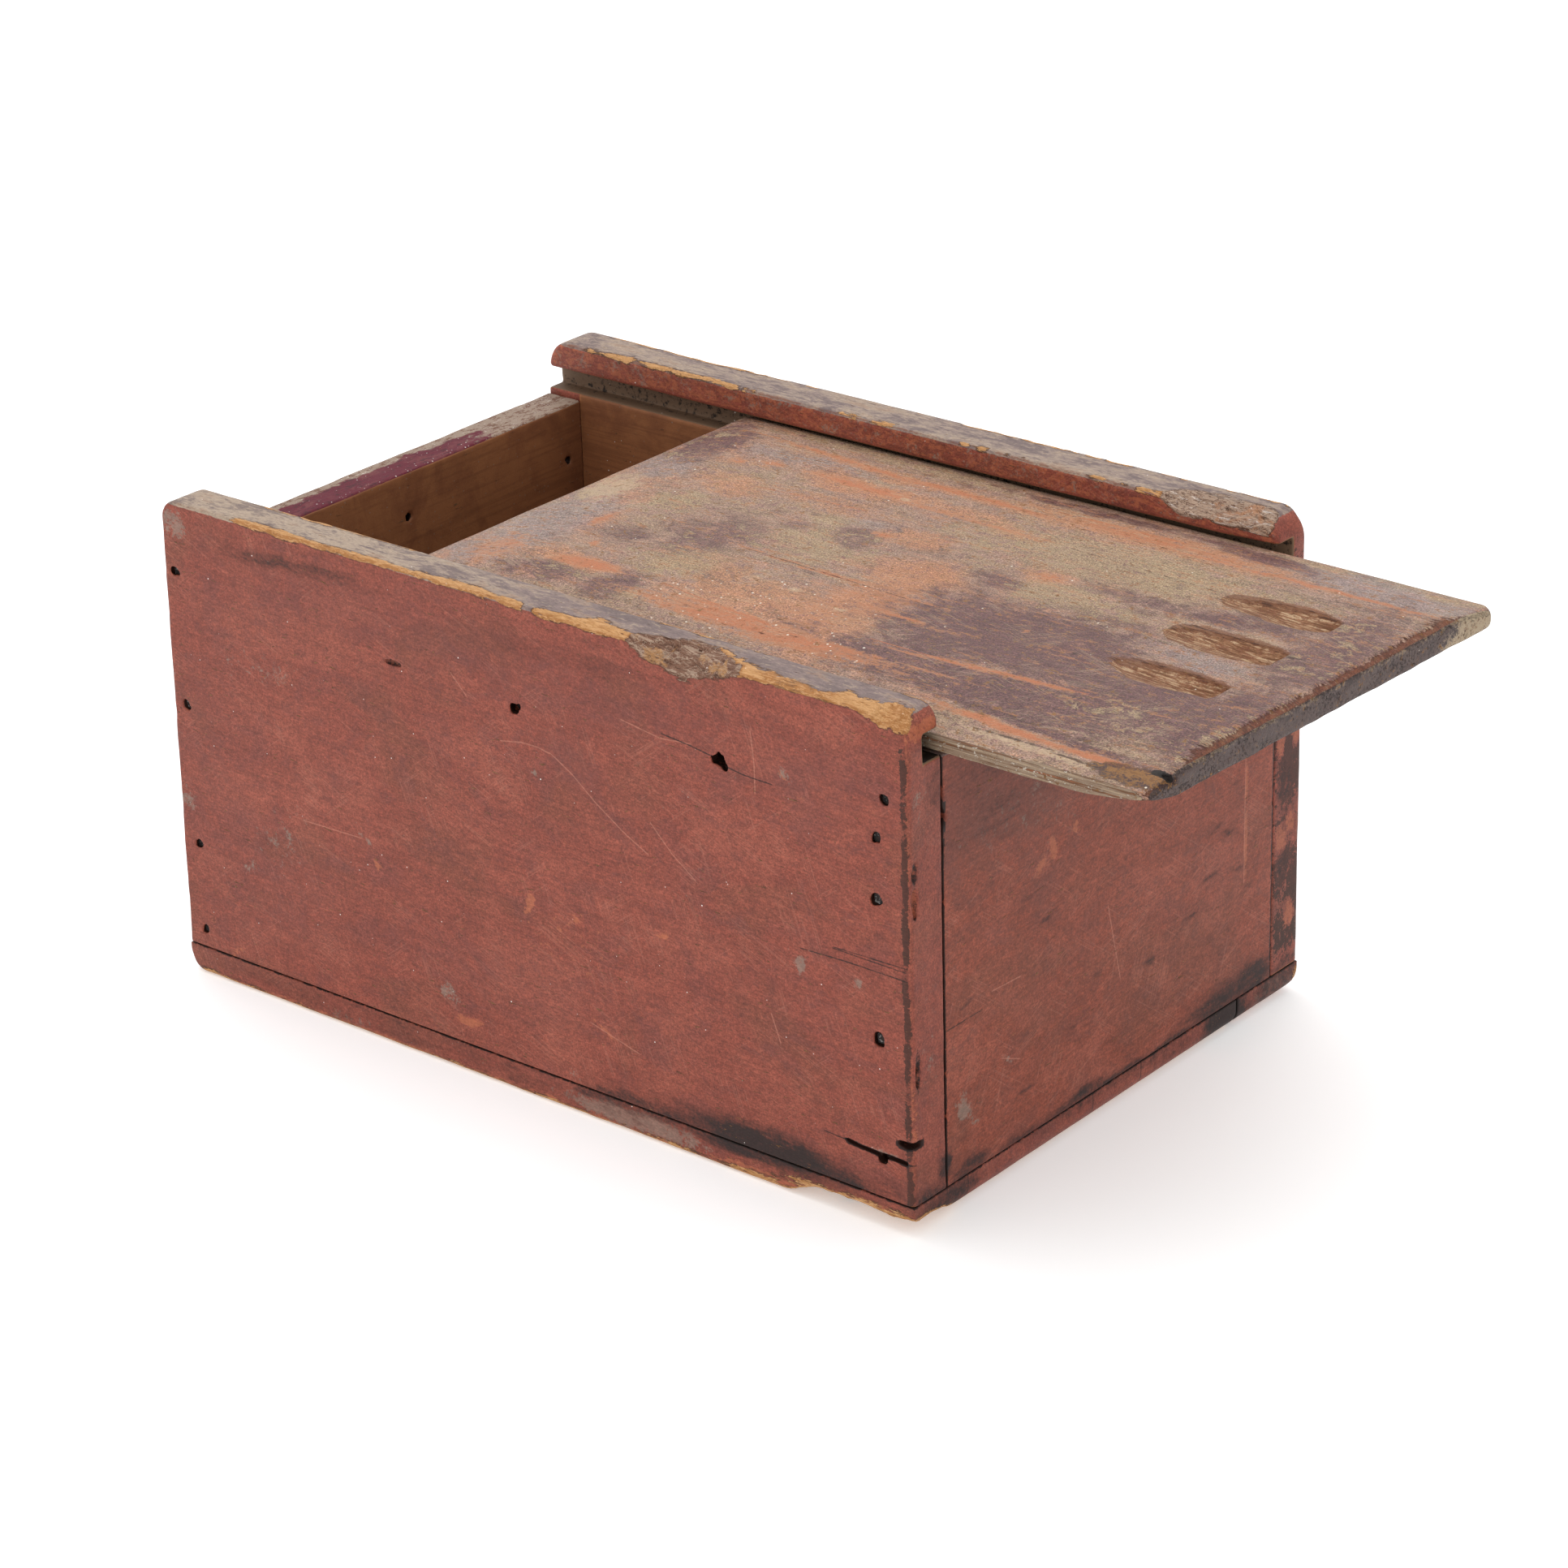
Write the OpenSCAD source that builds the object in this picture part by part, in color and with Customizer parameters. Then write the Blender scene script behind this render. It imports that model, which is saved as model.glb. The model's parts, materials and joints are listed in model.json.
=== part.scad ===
// Candle box: a nailed pine case whose grooved side boards carry a sliding lid.
// Millimetres. +X is the end where the lid draws out, +Z is up, and the origin is
// at the centre of the case's underside.

/* [Case] */
// Length of the case
case_l = 305; // [240:1:400]
// Width of the case over both side boards
case_w = 205; // [150:1:280]
// Height of the side boards above the bottom
side_h = 157.3; // [110:0.1:220]
// Thickness of each side board
side_t = 16.2; // [13:0.1:20]
// Thickness of each end board
end_t = 15.4; // [12:0.1:20]
// Thickness of the bottom boards
bottom_t = 10; // [6:0.5:16]
// Width of the narrow strip that makes up the bottom's width
strip_w = 35; // [24:1:70]
// Open seam between the bottom board and its strip
seam = 0.4; // [0.2:0.1:1.5]

/* [Worn edges] */
// Radius of the side boards' top corners
corner_r = 7; // [2:0.5:14]
// Radius of the bottom boards' lower corners
bottom_r = 6; // [1:0.5:6]
// How far the left board's back end leans in at its top
left_rake = 3.4; // [0:0.1:6]
// How far the side boards' tops rise towards the back
back_rise = 1.4; // [0:0.1:4]

/* [Lid groove] */
// Wood left above the groove
lip_h = 8.5; // [6:0.1:14]
// Depth of the groove into the side board
groove_depth = 7; // [4:0.1:8.5]
// Height of the gap over the lid's edge, under the lip
groove_play = 0.8; // [0.3:0.1:3]
// Gap between the lid's edge and the groove's wall, at the lid's back, on each side
side_play = 2.3; // [0.5:0.1:3]
// Running gap under the lid
lid_gap = 0.3; // [0.1:0.05:0.6]
// How far the back board stops below the groove
back_drop = 1.8; // [0.5:0.1:6]
// How far the front board stops below the groove
front_drop = 0.2; // [0:0.1:6]

/* [Sliding lid] */
// How far the closed lid stops short of the case's back
lid_short = 11; // [0:0.5:14]
// How far the lid is drawn out
lid_open = 75.5; // [0:0.5:200]
// Thickness of the lid's raised field
lid_t = 10; // [8:0.5:16]
// Thickness of the lid's thinned sides
lid_edge_t = 5.6; // [3:0.1:7]
// Thickness of the lid's thinned back
lid_back_t = 5.2; // [3:0.1:7]
// How much the lid narrows from its back to its front, on each side
lid_taper = 3.6; // [0:0.1:4]
// How much farther the lid reaches out on its right side than on its left
lid_skew = 6.5; // [0:0.5:12]
// Radius of the lid's front corners
lid_corner_r = 6; // [1:0.5:12]
// Width of the bevel along both sides
bevel_w = 27; // [12:0.5:40]
// Width of the bevel across the back
back_bevel_w = 24; // [8:0.5:40]

/* [Finger grips] */
// Number of finger grips
grip_count = 3; // [1:1:4]
// Distance between grip centres
grip_pitch = 30; // [24:0.5:34]
// Length of each grip
grip_l = 41; // [20:1:60]
// Width of each grip at its stop wall
grip_w = 16; // [10:0.5:22]
// Depth of each grip at its stop wall
grip_depth = 4; // [1.5:0.1:5]
// Distance of the stop walls from the lid's front
grip_inset = 23; // [10:0.5:50]
// How far the row of grips sits off the middle, towards the right
grip_shift = 6.7; // [-10:0.1:10]

/* [Cut nails] */
// Width of a shank under its head
shank_w = 2.6; // [1.6:0.1:3.2]
// Width of a shank at its tip
tip_w = 1.2; // [0.8:0.1:1.5]
// Thickness of a shank
shank_t = 1.9; // [1.2:0.1:2.4]
// Width of a head
head_w = 3.8; // [3.3:0.1:4.4]
// Thickness of a head
head_t = 1.3; // [0.8:0.1:2]
// How far a head is driven below the face
nail_sink = 1.6; // [0:0.1:2.5]
// How far the nails reach into the board behind
nail_bite = 16; // [8:0.5:24]
// Gap round a nail in its hole
nail_play = 0.05; // [0.02:0.01:0.2]
// Wood left behind the stray nail and the empty holes in the left board
stray_cover = 3.4; // [2:0.1:6]
// Number of nails up into each side board
bottom_side_nails = 4; // [2:1:6]
// Number of nails up into each end board
bottom_end_nails = 3; // [2:1:4]

/* [Hidden] */

paint = "#8a4b40";
weathered = "#8b7768";
iron = "#3a3634";
// Cuts run this far past the faces they open
past = 1;
// Steps in a rounded corner
corner_steps = 8;

half_l = case_l / 2;
half_w = case_w / 2;
inner_w = case_w - 2 * side_t;

// The part of the lid's width that runs in one groove, and its thickness at the lip
lid_hold = groove_depth - side_play;
lid_at_lip = lid_edge_t + (lid_t - lid_edge_t) * lid_hold / bevel_w;
groove_h = lid_gap + lid_at_lip + groove_play;
// The groove's floor above the bottom boards, and above the underside
ledge_h = side_h - lip_h - groove_h;
ledge_z = bottom_t + ledge_h;

// The lid's ends at the middle of its width, half its width at the back, and its underside
lid_front = half_l + lid_open;
lid_back = lid_front - (case_l - lid_short);
lid_half_w = inner_w / 2 + lid_hold;
lid_z = ledge_z + lid_gap;
// The lid's corners as seen from above, left and right
back_left = [lid_back, -lid_half_w];
back_right = [lid_back, lid_half_w];
front_left = [lid_front - lid_skew / 2, lid_taper - lid_half_w];
front_right = [lid_front + lid_skew / 2, lid_half_w - lid_taper];

// A grip is the end of a sloping round scoop: its slope and its radius
grip_slope = atan(grip_depth / grip_l);
grip_r = (grip_w * grip_w / 4 + grip_depth * grip_depth) / (2 * grip_depth);

// Nails in the side boards: each is [share of the end board's thickness from its outer
// face, share of the groove's height]
front_nails = [[0.56, 0.92], [0.78, 0.83], [0.8, 0.69], [0.79, 0.37]];
back_nails = [[0.53, 0.95], [0.53, 0.62], [0.53, 0.27], [0.53, 0.05]];
// A nail hole near the left board's front end that has lost its nail
lost_nail = [0.75, 0.09];
// In the left board: [share of the length from the middle, share of the groove's height]
stray_nail = [-0.16, 0.88];
empty_holes = [[0.005, 0.87], [0.27, 0.895]];

// The unit vector along v
function unit(v) = v / norm(v);

// The arc that rounds the corner p, between its neighbours a and b, to radius r
function rounded(a, p, b, r) =
    let (
        u = unit(a - p),
        v = unit(b - p),
        half = acos(u * v) / 2,
        centre = p + unit(u + v) * r / sin(half),
        first = p + u * r / tan(half) - centre,
        start = atan2(first.y, first.x),
        turn = -sign(cross(u, v)) * (180 - 2 * half)
    )
    [for (i = [0:corner_steps]) let (q = start + turn * i / corner_steps)
        centre + r * [cos(q), sin(q)]];

// A cut nail: its head lies against z = 0 and its shank points along +Z to z = length.
// grow widens it all round, for the hole it sits in.
module nail(length, grow = 0) {
    translate([-head_w / 2 - grow, -head_w / 2 - grow, -grow])
        cube([head_w + 2 * grow, head_w + 2 * grow, head_t + 2 * grow]);
    translate([0, shank_t / 2 + grow, 0])
        rotate([90, 0, 0])
            linear_extrude(shank_t + 2 * grow)
                polygon([
                    [-shank_w / 2 - grow, 0],
                    [shank_w / 2 + grow, 0],
                    [tip_w / 2 + grow, length + grow],
                    [-tip_w / 2 - grow, length + grow]
                ]);
}

// A driven nail whose hole opens at z = 0 and whose tip is at z = depth
module driven_nail(depth) {
    translate([0, 0, nail_sink])
        nail(depth - nail_sink);
}

// The hole of a driven nail, with the pit that its sunk head leaves
module nail_hole(depth) {
    wide = head_w + 2 * nail_play;
    translate([0, 0, nail_sink])
        nail(depth - nail_sink, nail_play);
    translate([-wide / 2, -wide / 2, -past])
        cube([wide, wide, past + nail_sink]);
}

// Puts its children on a side board's outer face (side is -1 left, 1 right), pointing inwards
module on_side(side, x, z) {
    translate([x, side * half_w, z])
        rotate([side * 90, 0, 0])
            children();
}

// The places of the nails through one side board into one end board (end is -1 back, 1 front)
module at_end_nails(side, end, nails) {
    for (n = nails)
        on_side(side, end * (half_l - n[0] * end_t), bottom_t + n[1] * ledge_h)
            children();
}

// The places of the nails through the bottom into one side board
module at_side_bottom_nails(side) {
    first = -half_l + 2 * end_t;
    step = (case_l - 4 * end_t) / (bottom_side_nails - 1);
    for (i = [0:bottom_side_nails - 1])
        translate([first + i * step, side * (half_w - side_t / 2), 0])
            children();
}

// The places of the nails through the bottom board into one end board
module at_end_bottom_nails(end) {
    reach = inner_w - strip_w;
    for (i = [0:bottom_end_nails - 1])
        translate([end * (half_l - end_t / 2),
                -inner_w / 2 + reach * (i + 1) / (bottom_end_nails + 1), 0])
            children();
}

// All holes of the nails that go through the side board and into the end boards
module side_nail_holes(side) {
    at_end_nails(side, 1, front_nails) nail_hole(side_t + nail_bite);
    at_end_nails(side, -1, back_nails) nail_hole(side_t + nail_bite);
}

module lost_nail_hole() {
    at_end_nails(-1, 1, [lost_nail]) nail_hole(side_t + nail_bite);
}

// All holes of the nails that come up through the bottom
module bottom_nail_holes() {
    for (side = [-1, 1])
        at_side_bottom_nails(side) nail_hole(bottom_t + nail_bite);
    for (end = [-1, 1])
        at_end_bottom_nails(end) nail_hole(bottom_t + nail_bite);
}

// A side board standing on the bottom, with the lid's groove along its inner face.
// rake leans its back end in at the top.
module side_board(side, rake) {
    foot_back = [-half_l, bottom_t];
    foot_front = [half_l, bottom_t];
    top_front = [half_l, bottom_t + side_h];
    top_back = [-half_l + rake, bottom_t + side_h + back_rise];
    color(paint)
        difference() {
            translate([0, side * (half_w - side_t / 2) + side_t / 2, 0])
                rotate([90, 0, 0])
                    linear_extrude(side_t)
                        polygon(concat(
                            [foot_back, foot_front],
                            rounded(foot_front, top_front, top_back, corner_r),
                            rounded(top_front, top_back, foot_back, corner_r)
                        ));
            groove(side);
            side_nail_holes(side);
            bottom_nail_holes();
            children();
        }
}

// The groove's cut in one side board, open at both ends
module groove(side) {
    wide = groove_depth + past;
    inner_face = side * inner_w / 2;
    translate([-half_l - past, side > 0 ? inner_face - past : inner_face - groove_depth, ledge_z])
        cube([case_l + 2 * past, wide, groove_h]);
}

module left_side_board() {
    side_board(-1, left_rake) {
        lost_nail_hole();
        for (h = concat([stray_nail], empty_holes))
            on_side(-1, h[0] * case_l, bottom_t + h[1] * ledge_h)
                nail_hole(side_t - stray_cover);
    }
}

module right_side_board() {
    side_board(1, 0);
}

// An end board between the side boards (end is -1 back, 1 front)
module end_board(end, drop) {
    color(paint)
        difference() {
            translate([end * (half_l - end_t / 2) - end_t / 2, -inner_w / 2, bottom_t])
                cube([end_t, inner_w, ledge_h - drop]);
            for (side = [-1, 1])
                side_nail_holes(side);
            lost_nail_hole();
            bottom_nail_holes();
        }
}

module front_end_board() {
    end_board(1, front_drop);
}

module back_end_board() {
    end_board(-1, back_drop);
}

// One board of the bottom, from y0 to y1, with its lower corners worn round at both ends
module bottom_plank(y0, y1) {
    r = min(bottom_r, bottom_t - 0.5);
    low_back = [-half_l, 0];
    low_front = [half_l, 0];
    high_front = [half_l, bottom_t];
    high_back = [-half_l, bottom_t];
    color(paint)
        difference() {
            translate([0, y1, 0])
                rotate([90, 0, 0])
                    linear_extrude(y1 - y0)
                        polygon(concat(
                            rounded(high_back, low_back, low_front, r),
                            rounded(low_back, low_front, high_front, r),
                            [high_front, high_back]
                        ));
            bottom_nail_holes();
        }
}

module bottom_board() {
    bottom_plank(-half_w, half_w - strip_w - seam);
}

module bottom_strip() {
    bottom_plank(half_w - strip_w, half_w);
}

// The scoop of one finger grip: it slopes down towards the front and ends at x = 0 in an
// upright wall, on a lid whose top is at z = 0
module grip() {
    reach = 2 * grip_l;
    intersection() {
        translate([0, 0, grip_r / cos(grip_slope) - grip_depth])
            rotate([0, grip_slope - 90, 0])
                translate([0, 0, -grip_l])
                    cylinder(h = reach + grip_l, r = grip_r, $fn = 96);
        translate([-reach, -grip_w, -grip_depth - past])
            cube([reach, 2 * grip_w, grip_depth + 2 * past]);
    }
}

// The wedge that a bevel takes off the lid's edge from a to b, which has the lid on its
// left, to leave that edge of thickness edge
module bevel(a, b, width, edge) {
    slope = (lid_t - edge) / width;
    along = b - a;
    translate([a.x, a.y, lid_z])
        rotate([0, 0, atan2(along.y, along.x)])
            translate([-past, 0, 0])
                rotate([90, 0, 90])
                    linear_extrude(norm(along) + 2 * past)
                        polygon([
                            [-past, edge - past * slope],
                            [width + past, lid_t + past * slope],
                            [-past, lid_t + past * slope]
                        ]);
}

module sliding_lid() {
    color(weathered)
        difference() {
            translate([0, 0, lid_z])
                linear_extrude(lid_t)
                    polygon(concat(
                        [back_left],
                        rounded(back_left, front_left, front_right, lid_corner_r),
                        rounded(front_left, front_right, back_right, lid_corner_r),
                        [back_right]
                    ));
            bevel(back_left, front_left, bevel_w, lid_edge_t);
            bevel(front_right, back_right, bevel_w, lid_edge_t);
            bevel(back_right, back_left, back_bevel_w, lid_back_t);
            for (i = [0:grip_count - 1])
                translate([
                        lid_front - grip_inset,
                        grip_shift + (i - (grip_count - 1) / 2) * grip_pitch,
                        lid_z + lid_t
                    ])
                    grip();
        }
}

module left_front_nails() {
    color(iron) at_end_nails(-1, 1, front_nails) driven_nail(side_t + nail_bite);
}

module left_back_nails() {
    color(iron) at_end_nails(-1, -1, back_nails) driven_nail(side_t + nail_bite);
}

module right_front_nails() {
    color(iron) at_end_nails(1, 1, front_nails) driven_nail(side_t + nail_bite);
}

module right_back_nails() {
    color(iron) at_end_nails(1, -1, back_nails) driven_nail(side_t + nail_bite);
}

module left_stray_nail() {
    color(iron)
        on_side(-1, stray_nail[0] * case_l, bottom_t + stray_nail[1] * ledge_h)
            driven_nail(side_t - stray_cover);
}

module bottom_left_nails() {
    color(iron) at_side_bottom_nails(-1) driven_nail(bottom_t + nail_bite);
}

module bottom_right_nails() {
    color(iron) at_side_bottom_nails(1) driven_nail(bottom_t + nail_bite);
}

module bottom_front_nails() {
    color(iron) at_end_bottom_nails(1) driven_nail(bottom_t + nail_bite);
}

module bottom_back_nails() {
    color(iron) at_end_bottom_nails(-1) driven_nail(bottom_t + nail_bite);
}

left_side_board();
right_side_board();
front_end_board();
back_end_board();
bottom_board();
bottom_strip();
sliding_lid();
left_front_nails();
left_back_nails();
right_front_nails();
right_back_nails();
left_stray_nail();
bottom_left_nails();
bottom_right_nails();
bottom_front_nails();
bottom_back_nails();
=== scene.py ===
"""An antique candle box of nailed pine boards in old red paint, with a sliding lid.

Every board is carved from a distance field in millimetres, so that its worn arrises, chips, pits and
grooves are real geometry. Marks that the carving knows, such as bare wood, soot and seams, are stored
on the mesh, and each finish reads them together with noise in Object coordinates.
"""

import json
import logging
import math
from dataclasses import dataclass, field
from enum import Enum
from functools import reduce

import bpy
import numpy as np
from mathutils import Matrix, Vector

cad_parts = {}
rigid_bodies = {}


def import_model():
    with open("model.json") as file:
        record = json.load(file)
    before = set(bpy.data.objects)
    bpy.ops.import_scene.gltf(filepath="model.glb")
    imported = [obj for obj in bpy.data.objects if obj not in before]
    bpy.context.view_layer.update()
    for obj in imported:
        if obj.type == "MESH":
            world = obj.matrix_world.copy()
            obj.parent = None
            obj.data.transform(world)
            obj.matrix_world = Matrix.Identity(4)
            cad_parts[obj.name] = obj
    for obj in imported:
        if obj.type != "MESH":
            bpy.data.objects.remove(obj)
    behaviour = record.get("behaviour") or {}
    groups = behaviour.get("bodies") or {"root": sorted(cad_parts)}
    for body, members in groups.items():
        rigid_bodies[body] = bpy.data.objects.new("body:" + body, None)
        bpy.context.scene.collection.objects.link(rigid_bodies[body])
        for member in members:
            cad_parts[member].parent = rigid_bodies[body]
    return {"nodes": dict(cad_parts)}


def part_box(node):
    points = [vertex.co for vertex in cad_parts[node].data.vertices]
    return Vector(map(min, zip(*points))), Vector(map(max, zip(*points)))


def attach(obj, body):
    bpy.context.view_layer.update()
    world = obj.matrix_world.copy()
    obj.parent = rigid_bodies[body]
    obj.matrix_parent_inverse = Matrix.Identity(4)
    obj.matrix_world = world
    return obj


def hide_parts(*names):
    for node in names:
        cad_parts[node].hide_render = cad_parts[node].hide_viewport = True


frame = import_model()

log = logging.getLogger("candle_box")

MM = 0.001
Array = np.ndarray
Marks = dict[str, Array]
Socket = bpy.types.NodeSocket
Material = bpy.types.Material
Tree = bpy.types.NodeTree

# The case's own planes, in mm: half its length and width, the inner faces of its sides, and the
# tops of its bottom, of the lid's ledge and of the lid's groove
HALF_L = 152.5
HALF_W = 102.5
INNER_W = 86.3
FLOOR_Z = 10.0
LEDGE_Z = 151.33
GROOVE_Z = 158.8
GROOVE_WALL = 93.3
# A distance that no line or edge reaches across
FAR = 50.0
# How far a grid reaches past its piece, and how fast it widens away from a close zone
MARGIN = 0.83
WIDENING = 0.22


class Axis(Enum):
    """A direction of the grain."""

    X = 0
    Y = 1

    def along(self, length: float, width: float) -> tuple:
        """The size of a feature that is length long with the grain and width across it."""
        return tuple(length if n == self.value else width for n in range(3))


# --- Fields: noise, rounded joins, profiles and patches, all on arrays of millimetres ---


def most(*fields: Array) -> Array:
    """The largest of several fields at each point: where solids overlap, or a mark is strongest."""
    return reduce(np.maximum, fields)


def triple(size: float | tuple) -> tuple:
    """A size along x, y and z, given as one number or as three."""
    return size if isinstance(size, tuple) else (size,) * 3


class Noise:
    """Smooth value noise, from -1 to 1, on a repeating lattice of seeded random numbers."""

    CELLS = 64
    # How far apart the lattice is read for x, y and z, so that the three don't run in step
    STEP = 17.3

    def __init__(self, seed: int) -> None:
        """Draws the lattice for one seed.

        Args:
            seed: The seed of its random numbers.
        """
        shape = (self.CELLS,) * 3
        self.table = np.random.default_rng(seed).random(shape, dtype=np.float32) * 2 - 1

    def at(self, point: tuple, size: float | tuple, shift: float = 0.0) -> Array:
        """The noise at each point.

        Args:
            point: x, y and z arrays that broadcast together.
            size: The size of a cell, in mm: one number, or one each along x, y and z.
            shift: Moves the pattern, to draw another from the same lattice.

        Returns:
            An array of the points' common shape.
        """
        sizes = triple(size)
        cells = [np.asarray(point[i], np.float32) / sizes[i] + shift + self.STEP * i for i in range(3)]
        low = [np.floor(c) for c in cells]
        part = [c - b for c, b in zip(cells, low)]
        part = [t * t * (3 - 2 * t) for t in part]
        low = [b.astype(np.int64) for b in low]
        mask = self.CELLS - 1
        total = 0.0
        for corner in range(8):
            bits = [(corner >> i) & 1 for i in range(3)]
            weight = 1.0
            for t, bit in zip(part, bits):
                weight = weight * (t if bit else 1 - t)
            i, j, k = ((b + bit) & mask for b, bit in zip(low, bits))
            total = total + weight * self.table[i, j, k]
        return total

    def layered(self, point: tuple, size: float | tuple, layers: int = 3, shift: float = 0.0) -> Array:
        """Several layers of noise, each half the size and half the strength of the last.

        Args:
            point: x, y and z arrays that broadcast together.
            size: The size of the first layer's cells, in mm.
            layers: How many layers.
            shift: Moves the pattern.

        Returns:
            An array of the points' common shape, from about -1 to 1.
        """
        total = 0.0
        for n in range(layers):
            part = 0.5**n
            total = total + part * self.at(point, tuple(s * part for s in triple(size)), shift + 5.7 * n)
        return total / (2 - 0.5 ** (layers - 1))


def round_join(a: Array, b: Array, radius: Array | float) -> Array:
    """Where two solids meet, with the arris between them worn to a radius.

    Args:
        a: Distance outside the first solid, negative inside.
        b: Distance outside the second.
        radius: Radius of the worn arris, one number or an array.

    Returns:
        Distance outside both, negative where a point is in both.
    """
    u = np.maximum(a + radius, 0)
    v = np.maximum(b + radius, 0)
    return np.minimum(np.maximum(a, b), -radius) + np.sqrt(u * u + v * v)


def arris_chip(a: Array, b: Array, reach_a: Array, reach_b: Array) -> Array:
    """A chip off the arris between two faces, as a slanting plane from one face to the other.

    Args:
        a: Distance outside the first face.
        b: Distance outside the second face.
        reach_a: How far below the first face the chip starts, on the second face.
        reach_b: How far below the second face it starts, on the first face.

    Returns:
        Distance above the chip's plane: positive is cut away.
    """
    down = np.maximum(reach_a, 0.02)
    along = np.maximum(reach_b, 0.02)
    slant = down * along / np.sqrt(down * down + along * along)
    return (1 + a / down + b / along) * slant


def ramp(value: Array, low: float, high: float) -> Array:
    """A smooth step from 0 at low to 1 at high, where low may be the larger."""
    t = np.clip((value - low) / (high - low), 0, 1)
    return t * t * (3 - 2 * t)


def patches(u: Array, v: Array, rows: tuple) -> Array:
    """Soft oval patches laid on a face.

    Args:
        u: Place along the face, in mm.
        v: Place across it, in mm.
        rows: For each patch its centre, its two half-lengths, its strength, and its turn in degrees
            where it is turned.

    Returns:
        From 0 outside to each patch's strength within half its size; one half of that at its rim.
    """
    best = np.zeros(np.broadcast(u, v).shape)
    for cu, cv, ru, rv, strength, *turn in rows:
        angle = math.radians(sum(turn))
        c, s = math.cos(angle), math.sin(angle)
        du, dv = u - cu, v - cv
        far = np.sqrt(((du * c + dv * s) / ru) ** 2 + ((dv * c - du * s) / rv) ** 2)
        best = np.maximum(best, strength * np.clip(1.5 - far, 0, 1))
    return best


def deepen(marks: Marks, name: str, values: Array) -> None:
    """Adds to a mark wherever the values are stronger than it."""
    marks[name] = np.maximum(marks.get(name, 0.0), values)


def oval(point: tuple, centre: tuple, half: tuple) -> Array:
    """How far out each point lies from an egg-shaped hollow's centre, where its skin is at 1."""
    return np.sqrt(sum(((p - c) / h) ** 2 for p, c, h in zip(point, centre, half)))


def strokes(u: Array, v: Array, rows: tuple) -> tuple[Array, Array]:
    """Thin strokes along given lines, as a signed distance that stays sharp on a coarse mesh.

    Args:
        u: Place along the face, in mm.
        v: Place across it, in mm.
        rows: For each stroke its strength and its points.

    Returns:
        Signed distance to the nearest stroke, in mm, and its strength, which fades at its ends.
    """
    near = np.full(u.shape, FAR)
    best = np.full(u.shape, np.inf)
    power = np.zeros(u.shape)
    for strength, *points in rows:
        for (u0, v0), (u1, v1) in zip(points[:-1], points[1:]):
            length = math.hypot(u1 - u0, v1 - v0)
            du, dv = (u1 - u0) / length, (v1 - v0) / length
            along = (u - u0) * du + (v - v0) * dv
            aside = (v - v0) * du - (u - u0) * dv
            past = most(-along, along - length, 0)
            far = np.hypot(aside, past)
            closer = far < best
            fade = strength * np.clip(1 - past / 3, 0, 1) * np.clip((4 - np.abs(aside)) / 1.5, 0, 1)
            near = np.where(closer, aside, near)
            power = np.where(closer, fade, power)
            best = np.where(closer, far, best)
    return near, power


# --- Meshes: graded grids, closed quad nets and their marks ---


def graded(low: float, high: float, coarse: float, spots: tuple) -> Array:
    """Grid places from just below low to just above high, closer together near each spot.

    Args:
        low: Where the piece starts, in mm.
        high: Where it ends.
        coarse: The widest spacing.
        spots: For each spot its place, its spacing and the half-width of its close zone.

    Returns:
        The places, rising.
    """
    places = [low - MARGIN]
    while places[-1] < high + MARGIN:
        here = places[-1]
        step = coarse
        for place, close, reach in spots:
            away = max(abs(here + close - place) - reach, 0.0)
            step = min(step, close + WIDENING * away)
        places.append(here + step)
    return np.array(places, np.float32)


def net(lines: list[Array], values: Array) -> tuple[Array, Array]:
    """The closed quad net where a field crosses zero: one point in each crossed cell.

    Args:
        lines: Grid places along x, y and z.
        values: The field on the grid, negative inside the solid.

    Returns:
        Points and quads whose faces point outwards.
    """
    inside = values < 0
    cells = tuple(n - 1 for n in values.shape)
    total = int(np.prod(cells))
    count = np.zeros(total)
    sums = np.zeros((3, total))
    found = []
    for axis in range(3):
        u, v = (axis + 1) % 3, (axis + 2) % 3
        lower = [slice(None)] * 3
        upper = [slice(None)] * 3
        lower[axis], upper[axis] = slice(None, -1), slice(1, None)
        lower, upper = tuple(lower), tuple(upper)
        at = np.argwhere(inside[lower] != inside[upper])
        a = values[lower][tuple(at.T)].astype(float)
        b = values[upper][tuple(at.T)].astype(float)
        points = np.stack([lines[n][at[:, n]].astype(float) for n in range(3)])
        step = lines[axis][at[:, axis] + 1] - lines[axis][at[:, axis]]
        points[axis] += step * a / (a - b)
        corner = []
        for du, dv in ((-1, -1), (0, -1), (0, 0), (-1, 0)):
            cell = at.copy()
            cell[:, u] += du
            cell[:, v] += dv
            flat = np.ravel_multi_index(tuple(cell.T), cells)
            corner.append(flat)
            count += np.bincount(flat, minlength=total)
            for n in range(3):
                sums[n] += np.bincount(flat, weights=points[n], minlength=total)
        quad = np.stack(corner, axis=1)
        quad[b < 0] = quad[b < 0][:, ::-1]
        found.append(quad)
    used = np.flatnonzero(count)
    number = np.full(total, -1)
    number[used] = np.arange(len(used))
    return (sums[:, used] / count[used]).T, number[np.concatenate(found)]


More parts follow.
